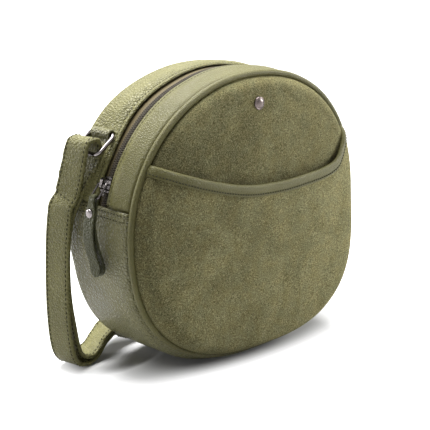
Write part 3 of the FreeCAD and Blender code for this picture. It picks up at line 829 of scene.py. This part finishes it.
# Side wall: lower gusset, zip strips and zip
wall = {
    "front": 0.0283, "back": 0.0365, "endTurn": math.radians(10.5), "thick": 0.0020, "floorGap": 0.0002,
    "bulge": 0.0020, "sag": 0.0040, "sagFrom": 0.05, "sagFull": 0.75, "roll": 0.0105, "rollPower": 2.4,
    "groove": 0.0024, "grooveReach": 0.0030, "shoulder": 0.0050, "pucker": 0.00018, "puckerReach": 0.006,
    "dent": 0.0030, "dentTurn": math.radians(35.8), "dentY": 0.0198, "dentLong": 0.13, "dentWide": 0.013,
    "uneven": 0.0003, "unevenWave": 0.06, "stitchIns": (0.0022, 0.0062),
}
backFull = {"out": 0.0022, "depth": 0.030, "from": 0.10, "full": 0.40, "fade": 0.72, "gone": 0.97}


def wallOut(ys, turns):
    # Height of the leather over the seam line: drawn in at the piping, rolled over the back edge
    # and held down by the tabs
    x, z = seamBase(turns)
    fromFront = np.maximum(ys + wall["front"], 0)
    edge = np.clip(fromFront / wall["roll"], 0, 1)
    bulge = wall["bulge"] + wall["sag"] * smooth(wall["sagFrom"], wall["sagFull"], -np.sin(turns))
    drawn = wall["groove"] * np.clip(1 - fromFront / wall["grooveReach"], 0, 1) ** 1.5
    body = bulge * (1 - (1 - edge) ** wall["rollPower"]) - drawn
    over = np.clip((ys - wall["back"]) / wall["shoulder"] + 1, 0, 1)
    body = body - wall["shoulder"] * (1 - np.sqrt(1 - over ** 2))
    crease = wall["pucker"] * np.exp(-fromFront / wall["puckerReach"])
    crease = crease * np.sin(turns * 120 + 2.5 * np.sin(turns * 17) - 1)
    crease = crease * (1 - smooth(-0.02, wall["endTurn"], np.minimum(turns, math.pi - turns)))
    fromTab = np.minimum(np.abs(turns - wall["dentTurn"]), np.abs(turns - math.pi + wall["dentTurn"]))
    dent = np.exp(-(fromTab / wall["dentLong"]) ** 2 - ((ys - wall["dentY"]) / wall["dentWide"]) ** 2)
    lean = np.sin(turns)
    full = backFull["out"] * smooth(0.0, backFull["depth"], ys)
    full = full * smooth(backFull["from"], backFull["full"], lean)
    full = full * (1 - smooth(backFull["fade"], backFull["gone"], lean))
    full = full - drawnIn(turns) * smooth(backEdge["nearY"], backEdge["farY"], ys)
    uneven = wall["uneven"] * edge * ripple(x, ys, z, wall["unevenWave"], 5.5)
    return body + full + crease - wall["dent"] * dent + uneven


def blendMouth(piece):
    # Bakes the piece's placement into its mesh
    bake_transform(piece)


slot = {
    "front": 0.0046, "back": 0.0044, "backOpen": 0.0036, "openFrom": 0.45, "openFull": 0.88, "lift": 0.0026,
    "archFront": 0.0075, "archBack": 0.0090, "archStart": 0.0030, "hump": 0.0013, "humpWide": 0.006,
    "stitchIn": 0.0032, "sewn": 0.0003, "sewnWide": 0.0007, "lipRoll": 0.0014, "lipWide": 0.0010,
    "thick": 0.0013, "tuck": 0.0018, "tuckTurn": 0.012, "lipPart": 0.0065, "rowTurn": 0.02, "rowLift": 0.0001,
}
lipSteps = np.array([0, 0.0002, 0.0005, 0.0009, 0.0014, 0.002, 0.0027, 0.0034, 0.0041, 0.005])
zipDetail = {"pitch": 0.0016, "reach": 0.0022, "radius": 0.00062, "middle": -0.0006, "tapeNear": 0.0006,
             "tapeFar": 0.0120, "tapeThick": 0.0005, "tapeSink": 0.0003, "coilLift": 0.0004,
             "coilGap": 0.0001, "runLow": 0.1072, "runHigh": 0.1088, "sink": 0.0004}


def lipAt(side, turns):
    # Distance of a strip's lip from the bag's middle plane
    if side < 0:
        return slot["front"] + 0 * turns
    return slot["back"] + slot["backOpen"] * smooth(slot["openFrom"], slot["openFull"], np.sin(turns))


def makeLowerGusset():
    start = wall["endTurn"]
    turns = np.linspace(start, start - (math.pi + 2 * start), 420)
    middle = (wall["back"] - wall["front"]) / 2
    ys = middle + (wall["back"] + wall["front"]) / 2 * np.sin(np.linspace(-1, 1, 57) * math.pi / 2)
    t, y = np.meshgrid(turns, ys, indexing="ij")
    sheet = seamPoints(t, y, wallOut(y, t))
    sheet[..., 2] = np.maximum(sheet[..., 2], wall["floorGap"])
    gusset = newMesh("lowerGusset", sheet, gridFaces(len(turns), len(ys), flip=True))
    thicken(gusset, wall["thick"])
    finishPiece(gusset, pebbledLeather, None, ["lower_gusset"])
    blendMouth(gusset)
    rows = []
    rowY = np.linspace(0.002 - wall["front"], wall["back"] - 0.004, 40)
    for inset in wall["stitchIns"]:
        for turn in (start - inset / seam["radius"], math.pi - start + inset / seam["radius"]):
            rowT = np.full_like(rowY, turn)
            rows.append(seamPoints(rowT, rowY, wallOut(rowY, rowT) + 0.0001))
    blendMouth(stitches("gussetStitches", rows, None, radius=0.00042, ride=False))
    return gusset


def zipOut(turns):
    # Height of the zip over the seam line; it keeps near the circle that the slider runs on
    x, z = seamBase(turns)
    r = np.hypot(x, z - seam["centreHeight"])
    return np.clip(r - zipDetail["sink"], zipDetail["runLow"], zipDetail["runHigh"]) - r


def stripOut(ys, turns):
    # Each strip arches up from its lip beside the zip and then follows the wall
    lip = np.where(ys < 0, -ys - lipAt(-1, turns), ys - lipAt(1, turns))
    arch = np.where(ys < 0, slot["archFront"], slot["archBack"])
    low = zipOut(turns) + slot["lift"]
    high = wallOut(ys, turns) + slot["hump"] * np.exp(-((lip - arch) / slot["humpWide"]) ** 2)
    sewn = -slot["sewn"] * np.exp(-((lip - slot["stitchIn"]) / slot["sewnWide"]) ** 2)
    roll = -slot["lipRoll"] * np.clip(1 - lip / slot["lipWide"], 0, 1) ** 2
    return low + (high - low) * smooth(-slot["archStart"], arch, lip) + sewn + roll


def makeStrip(name, side, body, material, stands):
    start = wall["endTurn"] - math.radians(1.5)
    turns = np.linspace(start, math.pi - start, 300)
    near = slot["front"] if side < 0 else slot["back"]
    far = wall["front"] if side < 0 else wall["back"]
    rest = far - near - (far - near - slot["lipPart"]) * (1 - np.sin(np.linspace(0, 1, 22) * math.pi / 2))
    ys = np.sort(side * (np.r_[lipSteps, rest] + near))
    t, y = np.meshgrid(turns, ys, indexing="ij")
    y = y + side * (lipAt(side, t) - near) * (far - np.abs(y)) / (far - near)
    fromEnd = np.minimum(t, math.pi - t) - wall["endTurn"]
    tuck = np.where(fromEnd < slot["tuckTurn"], slot["tuck"], 0.0)
    strip = newMesh(name, seamPoints(t, y, stripOut(y, t) - tuck), gridFaces(len(turns), len(ys)))
    thicken(strip, slot["thick"])
    finishPiece(strip, material, body, stands)
    rowStart = wall["endTurn"] + slot["rowTurn"]
    row = np.linspace(rowStart, math.pi - rowStart, 260)
    rowY = side * (lipAt(side, row) + slot["stitchIn"])
    stitches(name + "Stitches", [seamPoints(row, rowY, stripOut(rowY, row) + slot["rowLift"])], body)
    return strip


def makeZipSide(name, side, body):
    start = wall["endTurn"] - math.radians(1.0)
    turns = np.linspace(start, math.pi - start, 260)
    ys = np.sort(zipDetail["middle"] + side * np.linspace(zipDetail["tapeNear"], zipDetail["tapeFar"], 12))
    t, y = np.meshgrid(turns, ys, indexing="ij")
    tape = newMesh(name + "ZipTape", seamPoints(t, y, zipOut(t) - zipDetail["tapeSink"]),
                   gridFaces(len(turns), len(ys)))
    thicken(tape, zipDetail["tapeThick"])
    finishPiece(tape, zipCloth, body, [name + "_zip_tape"])
    shift = 0.5 * zipDetail["pitch"] / seam["radius"] * (side > 0)
    row = np.linspace(wall["endTurn"] + shift, math.pi - wall["endTurn"], 700)
    rowY = np.full_like(row, zipDetail["middle"] + side * (zipDetail["reach"] / 2 + zipDetail["coilGap"]))
    coil = runTree(name + "ZipCoil", toothTree, [seamPoints(row, rowY, zipOut(row) + zipDetail["coilLift"])],
                   {"Pitch": zipDetail["pitch"], "Reach": zipDetail["reach"], "Radius": zipDetail["radius"],
                    "Side": float(side)}, coilPlastic)
    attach(coil, body)
    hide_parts(name + "_zip_teeth")
    return tape


makeLowerGusset()
makeStrip("frontTopStrip", -1, "front_half", smoothLeather, ["front_top_strip"])
makeStrip("backTopStrip", 1, "bag_body", strapLeather, ["back_top_strip"])
makeZipSide("front", -1, "front_half")
makeZipSide("back", 1, "bag_body")
print("side wall and zip made")


# Lining: how thick it is, how far it keeps behind the leather and how it folds
lining = {"thick": 0.0006, "behind": 0.003, "uneven": 0.0008, "lip": 0.0065, "backGap": 0.004,
          "underStrip": 0.0020, "underZip": 0.0012, "topFold": 0.0002, "underWall": 0.0024,
          "wallMost": -0.0022, "wallFold": 0.0004}


def finishLining(cloth, body, node):
    thicken(cloth, lining["thick"])
    finishPiece(cloth, liningCloth, body, [node])
    if body is None:
        blendMouth(cloth)


def makeLining():
    for name, dome, side, body in (("front", frontDome, -1, "front_half"), ("back", backDome, 1, "bag_body")):
        inner = dict(dome, inset=dome["inset"] + lining["behind"], base=dome["base"] - lining["behind"],
                     uneven=lining["uneven"], seed=dome["seed"] + 3)
        finishLining(domeMesh(name + "Lining", inner, side, 200), body, name + "_lining")
        start = wall["endTurn"] - math.radians(1.5)
        turns = np.linspace(start, math.pi - start, 160)
        far = wall["front"] if side < 0 else wall["back"] - lining["backGap"]
        ys = np.sort(side * np.linspace(lining["lip"], far, 14))
        t, y = np.meshgrid(turns, ys, indexing="ij")
        under = np.minimum(stripOut(y, t) - lining["underStrip"], zipOut(t) - lining["underZip"])
        points = seamPoints(t, y, under - lining["topFold"] * np.sin(t * 60))
        band = newMesh(name + "TopLining", points, gridFaces(len(turns), len(ys)))
        finishLining(band, body, name + "_top_lining")
    start = wall["endTurn"]
    turns = np.linspace(start, start - (math.pi + 2 * start), 240)
    ys = np.linspace(-wall["front"], wall["back"] - lining["backGap"], 30)
    t, y = np.meshgrid(turns, ys, indexing="ij")
    under = np.minimum(wallOut(y, t) - lining["underWall"], lining["wallMost"])
    points = seamPoints(t, y, under - lining["wallFold"] * (1 + np.sin(t * 26 + 3 * np.sin(t * 5))))
    band = newMesh("gussetLining", points, gridFaces(len(turns), len(ys), flip=True))
    finishLining(band, None, "gusset_lining")


makeLining()
print("lining made")


# Shoulder strap: x, y, z and the turn of its width from the Y axis, in degrees
strap = {"width": 0.020, "thick": 0.0030, "edge": 0.0012, "stitchIn": 0.0021, "groove": 0.00022,
         "step": 0.0013, "wrinkle": 0.00040, "wrinkleWave": 0.0075, "wrinkleFrom": 0.105, "wrinkleTo": 0.125,
         "sewnHeight": 0.1252, "sewnOut": 0.1118, "sewnSink": 0.00005, "foldTop": 0.152, "foldEnd": 0.088}
returnRoute = [
    (-0.0400, 0.0542, 0.0062, -4), (-0.0480, 0.0526, 0.0092, -8), (-0.0560, 0.0508, 0.0131, -14),
    (-0.0650, 0.0480, 0.0158, -20), (-0.0750, 0.0448, 0.0131, -18), (-0.0850, 0.0420, 0.0076, -10),
    (-0.0950, 0.0396, 0.0056, 2), (-0.1052, 0.0386, 0.0116, 10), (-0.1112, 0.0378, 0.0330, 13),
    (-0.1154, 0.0370, 0.0600, 13), (-0.1154, 0.0364, 0.0920, 14), (-0.1140, 0.0324, 0.1130, 14),
    (-0.1100, 0.0264, 0.1290, 12),
]
foldRoute = [
    (-0.1046, 0.0224, 0.1410, 6), (-0.0996, 0.0206, 0.1520, 6), (-0.0986, 0.0202, 0.1600, 6),
    (-0.1000, 0.0200, 0.1636, 6), (-0.1038, 0.0200, 0.1650, 7), (-0.1080, 0.0202, 0.1638, 8),
    (-0.1100, 0.0204, 0.1604, 9), (-0.1114, 0.0216, 0.1520, 11), (-0.1126, 0.0238, 0.1410, 13),
]
dropRoute = [
    (-0.1134, 0.0264, 0.1310, 13), (-0.1138, 0.0270, 0.1272, 13), (-0.1158, 0.0280, 0.1236, 14),
    (-0.1180, 0.0290, 0.1196, 14), (-0.1186, 0.0302, 0.1130, 14), (-0.1190, 0.0326, 0.0920, 14),
    (-0.1198, 0.0332, 0.0600, 13), (-0.1182, 0.0342, 0.0330, 13), (-0.1148, 0.0352, 0.0150, 13),
    (-0.1098, 0.0360, 0.0060, 10), (-0.1030, 0.0374, 0.0026, 6), (-0.0950, 0.0390, 0.0020, 0),
    (-0.0850, 0.0418, 0.0044, -10), (-0.0750, 0.0446, 0.0100, -16), (-0.0650, 0.0478, 0.0128, -18),
    (-0.0560, 0.0506, 0.0100, -14), (-0.0470, 0.0528, 0.0056, -8), (-0.0370, 0.0544, 0.0027, -6),
    (-0.0250, 0.0558, 0.0020, -4), (-0.0125, 0.0567, 0.0020, -2), (0.0, 0.0570, 0.0020, 0),
]


def strapLine():
    across = [(-x, y, z, -turn) for x, y, z, turn in reversed(foldRoute + dropRoute[:-1])]
    samples = spline(returnRoute + foldRoute + dropRoute + across, strap["step"])
    turn = np.radians(samples[:, 3])
    wides = np.stack([-np.sin(turn), np.cos(turn), 0 * turn], -1)
    return samples[:, :3], wides


def blendStrap(piece):
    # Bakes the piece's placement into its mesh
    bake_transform(piece)


def wrinkles(spots):
    # Rise of the strap's surface where it is creased by bending over the rings
    x, y, z = spots.T
    rise = strap["wrinkle"] * smooth(strap["wrinkleFrom"], strap["wrinkleTo"], z)
    return (rise * ripple(0.5 * x, 0.45 * y, z, strap["wrinkleWave"], 3.3))[:, None]


def ruffle(piece):
    mesh = piece.data
    spots = np.empty(len(mesh.vertices) * 3)
    ways = np.empty(len(mesh.vertices) * 3)
    mesh.vertices.foreach_get("co", spots)
    mesh.vertices.foreach_get("normal", ways)
    spots = spots.reshape(-1, 3)
    spots = spots + ways.reshape(-1, 3) * wrinkles(spots)
    mesh.vertices.foreach_set("co", spots.ravel())
    mesh.update()
    return piece


def makeStrap():
    path, wides = strapLine()
    section = roundedSection(strap["width"], strap["thick"], strap["edge"],
                             strap["groove"], strap["stitchIn"])
    belt = ruffle(sweep("shoulderStrap", path, wides, section))
    finishPiece(belt, strapLeather, None,
                ["strap_main", "strap_return", "strap_fold_left", "strap_fold_right"])
    blendStrap(belt)
    across, thick = stripFrames(path, wides)
    lines = []
    for side in (-1, 1):
        for face in (-1, 1):
            row = path + across * side * (strap["width"] / 2 - strap["stitchIn"])
            row = row + thick * face * strap["thick"] / 2
            lines.append(row + thick * face * wrinkles(row))
    for side in (-1, 1):
        near = np.abs(path[:, 2] - strap["sewnHeight"]) + 10 * (path[:, 0] * side < strap["sewnOut"])
        k = int(np.argmin(near))
        shares = np.linspace(-0.5, 0.5, 16)[:, None] * (strap["width"] - 2 * strap["stitchIn"])
        outer = thick[k] * np.sign(thick[k][0] * side) * (strap["thick"] / 2 - strap["sewnSink"])
        lines.append(path[k] + across[k] * shares + outer)
    blendStrap(stitches("strapStitches", lines, None,
                        pitch=0.0033, length=0.0022, radius=0.00042, ride=False))


adjuster = {"x": -0.022, "y": 0.057, "turn": math.radians(8.0), "tail": 0.024, "bend": 0.0022,
            "thick": 0.0012, "edge": 0.0005}


def makeAdjusterLoop():
    # End of the strap folded round the frame's middle bar and sewn to itself
    low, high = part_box("strap_adjuster")
    lift = (low.z + high.z) / 2
    r = adjuster["bend"]
    bend = [(r * math.sin(a), 0, lift + r * math.cos(a)) for a in np.linspace(0, math.pi, 13)]
    local = [(-adjuster["tail"], 0, lift + r - 0.0005), (-adjuster["tail"] / 2, 0, lift + r)] + bend
    local += [(-adjuster["tail"] * 0.3, 0, lift - r + 0.0003)]
    c = math.cos(adjuster["turn"])
    s = math.sin(adjuster["turn"])
    path = np.array([(adjuster["x"] + c * x - s * y, adjuster["y"] + s * x + c * y, z) for x, y, z in local])
    path = spline(path, 0.0008)
    wides = np.tile([-s, c, 0.0], (len(path), 1))
    loop = sweep("adjusterLoop", path, wides,
                 roundedSection(strap["width"], adjuster["thick"], adjuster["edge"]))
    finishPiece(loop, strapLeather, "adjuster", ["adjuster_loop"])


makeStrap()
makeAdjusterLoop()
print("strap made")


# Tabs that hold the rings
tab = {"angle": math.radians(39.0), "footAngle": math.radians(25.0), "footGap": 0.035, "width": 0.019,
       "middle": 0.0198, "thick": 0.0016, "edge": 0.0007, "roll": 0.0027, "axleOut": 0.1135,
       "stitchIn": 0.0018}


def makeTab(name, side):
    centre = np.array([0, 0, seam["centreHeight"]])

    def spot(radius, angle):
        return centre + np.array([-radius * math.cos(angle), 0, radius * math.sin(angle)])

    axle = spot(tab["axleOut"], tab["angle"])
    outDir = (axle - centre) / np.linalg.norm(axle - centre)
    upDir = np.array([outDir[2], 0, -outDir[0]])
    foot = []
    for angle in np.linspace(tab["footAngle"], tab["angle"] - tab["footGap"], 8):
        low = spot(seam["radius"], angle)
        turn = np.array([math.atan2(low[2] - seam["fullCentre"], -low[0])])
        w = seamPoints(turn, tab["middle"], wallOut(np.array([tab["middle"]]), turn) + tab["thick"] / 2)[0]
        foot.append((w[0], 0, w[2]))
    loop = []
    for a in np.linspace(-0.55 * math.pi, 0.80 * math.pi, 18):
        p = axle + tab["roll"] * (math.cos(a) * outDir + math.sin(a) * upDir)
        loop.append(tuple(p))
    path = spline(np.array(foot + loop), 0.0009)
    path[:, 1] = tab["middle"]
    if side > 0:
        path[:, 0] *= -1
    wides = np.tile([0.0, 1.0, 0.0], (len(path), 1))
    piece = sweep(name + "StrapTab", path, wides, roundedSection(tab["width"], tab["thick"], tab["edge"]))
    finishPiece(piece, pebbledLeather, "bag_body", [name + "_strap_tab"])
    rows = []
    for share in (0.10, 0.30):
        k = int(share * len(path))
        low = path[k]
        away = np.array([low[0], 0, low[2] - seam["centreHeight"]])
        away /= np.linalg.norm(away)
        reach = tab["width"] / 2 - tab["stitchIn"]
        ys = np.linspace(tab["middle"] - reach, tab["middle"] + reach, 12)
        rows.append(np.array([low + away * tab["thick"] * 0.5 + np.array([0, y - low[1], 0]) for y in ys]))
    stitches(name + "TabStitches", rows, "bag_body")


for name, side in (("left", -1), ("right", 1)):
    makeTab(name, side)
print("tabs made")


# Leather pull: one strip folded round the wire, both plies held by a rivet
pull = {
    "hangX": -0.113, "hangZ": 0.1295528, "length": 0.053, "width": 0.0102, "neck": 0.0052, "neckEnd": 0.003,
    "wideFrom": 0.0105, "tip": 0.0058, "ply": 0.0014, "edge": 0.05, "gap": 0.0003, "eye": 0.0010,
    "eyeReach": 0.0045, "spread": 0.0011, "bow": 0.0050, "bowEnd": 0.85, "curl": -0.0005, "lean": 0.0030,
    "rivetDrop": 0.0097, "rivetRadius": 0.0032,
}


def pullPly(falls, side):
    # Middle of one ply at distances below the wire
    share = falls / pull["length"]
    middle = (pull["hangX"] - pull["bow"] * np.sin(math.pi * np.clip(share / pull["bowEnd"], 0, 1))
              + pull["curl"] * smooth(0.65, 1.0, share))
    apart = (pull["gap"] / 2 + pull["ply"] / 2 + pull["eye"] * np.exp(-(falls / pull["eyeReach"]) ** 2)
             + pull["spread"] * smooth(0.20, 0.75, share))
    return np.stack([middle + side * apart, -pull["lean"] * share ** 2, pull["hangZ"] - falls], -1)


def revolve(name, profile, base, across, up, way, sides=48):
    # Turns a profile of (radius, lift) about the axis that leaves base along way
    turns = np.linspace(0, 2 * math.pi, sides, endpoint=False)
    ring = np.cos(turns)[:, None] * np.array(across, float) + np.sin(turns)[:, None] * np.array(up, float)
    base = np.array(base, float)
    way = np.array(way, float)
    points = [base + way * profile[0][1]]
    for radius, lift in profile[1:]:
        points += list(base + ring * radius + way * lift)
    faces = [(0, 1 + (j + 1) % sides, 1 + j) for j in range(sides)]
    for i in range(len(profile) - 2):
        for j in range(sides):
            a = 1 + i * sides + j
            b = 1 + i * sides + (j + 1) % sides
            faces.append((a, b, b + sides, a + sides))
    last = 1 + (len(profile) - 2) * sides
    faces.append(tuple(range(last, last + sides)))
    return outward(newMesh(name, points, faces))


def makePull():
    length = pull["length"]
    tipShares = 1 - 0.15 * (1 - np.sin(np.linspace(0.08, 1, 14) * math.pi / 2))
    falls = np.r_[np.linspace(0, 0.85, 46), tipShares] * length
    half = pullPly(np.array([0.0]), 1)[0][0] - pull["hangX"]
    arc = np.linspace(0, math.pi, 11)[1:-1]
    bend = np.stack([pull["hangX"] + half * np.cos(arc), 0 * arc, pull["hangZ"] + half * np.sin(arc)], -1)
    path = np.vstack([pullPly(falls[::-1], 1), bend, pullPly(falls, -1)])
    wide = np.interp(falls, [pull["neckEnd"], pull["wideFrom"]], [pull["neck"], pull["width"]])
    tip = np.clip((falls - length + pull["tip"]) / pull["tip"], 0, 1)
    wide = wide * np.sqrt(np.maximum(1 - tip ** 2, 0.0006))
    widths = np.r_[wide[::-1], np.full(len(arc), pull["neck"]), wide]
    wides = np.tile([0.0, 1.0, 0.0], (len(path), 1))
    strip = sweep("leatherPull", path, wides, roundedSection(1.0, pull["ply"], pull["edge"]), widths)
    finishPiece(strip, pullLeather, "pull", ["leather_pull"])
    face = pullPly(np.array([pull["rivetDrop"]]), -1)[0] - np.array([pull["ply"] / 2, 0, 0])
    r = pull["rivetRadius"]
    profile = [(0, 0.0013), (r * 0.3, 0.00128), (r * 0.55, 0.00118), (r * 0.75, 0.00098), (r * 0.9, 0.0007),
               (r * 0.98, 0.00035), (r, 0.0001), (r * 0.98, -0.0012)]
    rivet = revolve("pullRivet", profile, face, (0, 1, 0), (0, 0, 1), (-1, 0, 0))
    finishPiece(rivet, chrome, "pull", ["pull_rivet"])


makePull()


# Domed stud on the front
stud = {"radius": 0.0046, "height": 0.0022}


def makeStud():
    low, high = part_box("front_stud")
    z = (low.z + high.z) / 2
    face = domePoint(frontDome, -1, np.array([1e-6]), np.array([z]))[0][0]
    r = stud["radius"]
    h = stud["height"]
    profile = [(0.0, h), (r * 0.3, h * 0.97), (r * 0.5, h * 0.86), (r * 0.66, h * 0.68), (r * 0.74, h * 0.5),
               (r * 0.78, h * 0.44), (r * 0.82, h * 0.5), (r * 0.9, h * 0.52), (r * 0.97, h * 0.36),
               (r, h * 0.1), (r * 0.98, -h * 0.4)]
    piece = revolve("frontStud", profile, face, (1, 0, 0), (0, 0, 1), (0, -1, 0))
    finishPiece(piece, gunmetal, "front_half", ["front_stud"])


makeStud()

metalParts = {"zip_slider": darkChrome, "zip_puller": darkChrome, "zip_stops": darkChrome,
              "left_ring": chrome, "right_ring": chrome, "strap_adjuster": chrome, "stud_washer": chrome}
for name, metal in metalParts.items():
    nodes[name].data.materials.clear()
    nodes[name].data.materials.append(metal)
print("pull, stud and metal done")


# Floor, light and camera
def seenRays(tree):
    # One for rays that end in the picture, straight or by way of a mirror or glass
    rays = tree.nodes.new("ShaderNodeLightPath")
    sharp = blendMath(tree, "MAXIMUM", rays.outputs["Is Glossy Ray"], rays.outputs["Is Transmission Ray"])
    return blendMath(tree, "MAXIMUM", rays.outputs["Is Camera Ray"], sharp)


floorLook = {"half": 4.0, "paint": 0.46, "glow": 0.02, "farGlow": 1.0, "near": 0.50, "far": 1.05,
             "spots": [((0.014, -0.004, 0.0), (0.136, 0.048)), ((-0.066, 0.030, 0.0), (0.058, 0.040)),
                       ((0.066, 0.030, 0.0), (0.058, 0.040))]}


def makeFloor():
    half = floorLook["half"]
    corners = [(-half, -half, 0), (half, -half, 0), (half, half, 0), (-half, half, 0)]
    floor = newMesh("floor", corners, [(0, 1, 2, 3)], False)
    material = bpy.data.materials.new("whiteFloor")
    material.use_nodes = True
    tree = material.node_tree
    tree.nodes.clear()
    paint = addNode(tree, "ShaderNodeBsdfDiffuse", None, {"Color": (*[floorLook["paint"]] * 3, 1)})
    place = tree.nodes.new("ShaderNodeTexCoord").outputs["Object"]
    away = 2 * floorLook["far"]
    for centre, halves in floorLook["spots"]:
        # Painted light: the floor glows white away from these spots, so its shade stays close under the bag
        # and under each bend of the strap
        moved = addNode(tree, "ShaderNodeVectorMath", {"operation": "SUBTRACT"}, {0: place, 1: centre})
        scaled = addNode(tree, "ShaderNodeVectorMath", {"operation": "DIVIDE"},
                         {0: moved.outputs[0], 1: (*halves, 1.0)})
        reach = addNode(tree, "ShaderNodeVectorMath", {"operation": "LENGTH"}, {0: scaled.outputs[0]})
        away = blendMath(tree, "MINIMUM", reach.outputs["Value"], away)
    glow = mapValue(tree, away, floorLook["near"], floorLook["far"], floorLook["glow"], floorLook["farGlow"])
    lit = addNode(tree, "ShaderNodeEmission", None,
                  {"Color": (1, 1, 1, 1), "Strength": blendMath(tree, "MULTIPLY", seenRays(tree), glow)})
    both = addNode(tree, "ShaderNodeAddShader", None, {0: paint.outputs[0], 1: lit.outputs[0]})
    out = tree.nodes.new("ShaderNodeOutputMaterial")
    tree.links.new(both.outputs[0], out.inputs["Surface"])
    floor.data.materials.append(material)


roomGlow = {"light": 0.12, "seen": 1.0}


def makeWorld():
    world = bpy.data.worlds.new("paleRoom")
    scene.world = world
    world.use_nodes = True
    tree = world.node_tree
    tree.nodes.clear()
    room = addNode(tree, "ShaderNodeBackground", None, {"Color": (1, 1, 1, 1), "Strength": roomGlow["light"]})
    white = addNode(tree, "ShaderNodeBackground", None, {"Color": (1, 1, 1, 1), "Strength": roomGlow["seen"]})
    mix = addNode(tree, "ShaderNodeMixShader", None,
                  {0: seenRays(tree), 1: room.outputs[0], 2: white.outputs[0]})
    out = tree.nodes.new("ShaderNodeOutputWorld")
    tree.links.new(mix.outputs[0], out.inputs["Surface"])


lamps = {
    "softTop": {"at": (0.10, 0.45, 1.35), "size": 1.1, "power": 70.0},
    "softRight": {"at": (1.60, -0.70, 0.70), "size": 0.9, "power": 38.0},
    "softLeft": {"at": (-0.75, 1.45, 0.45), "size": 0.7, "power": 16.0},
}


def makeLamps():
    aim = Vector((0, 0, 0.09))
    for name, lamp in lamps.items():
        data = bpy.data.lights.new(name, "AREA")
        data.size = lamp["size"]
        data.energy = lamp["power"]
        light = bpy.data.objects.new(name, data)
        light.location = lamp["at"]
        light.rotation_euler = (aim - light.location).to_track_quat("-Z", "Y").to_euler()
        scene.collection.objects.link(light)


view = {"turn": math.radians(44.38), "rise": math.radians(15.0), "distance": 1.0158, "target": (0, 0, 0.102),
        "focalPixels": 1424.2, "framePixels": 430, "shiftX": -0.0063, "shiftY": -0.0174}


def makeCamera():
    data = bpy.data.cameras.new("photoView")
    data.sensor_width = 36.0
    data.lens = view["focalPixels"] * data.sensor_width / view["framePixels"]
    data.shift_x = view["shiftX"]
    data.shift_y = view["shiftY"]
    camera = bpy.data.objects.new("photoView", data)
    flat = math.cos(view["rise"])
    back = Vector((-math.sin(view["turn"]) * flat, -math.cos(view["turn"]) * flat, math.sin(view["rise"])))
    camera.location = Vector(view["target"]) + back * view["distance"]
    camera.rotation_euler = (-back).to_track_quat("-Z", "Y").to_euler()
    scene.collection.objects.link(camera)
    scene.camera = camera


makeFloor()
makeWorld()
makeLamps()
makeCamera()
scene.view_settings.view_transform = "Standard"
print("floor, light and camera set")
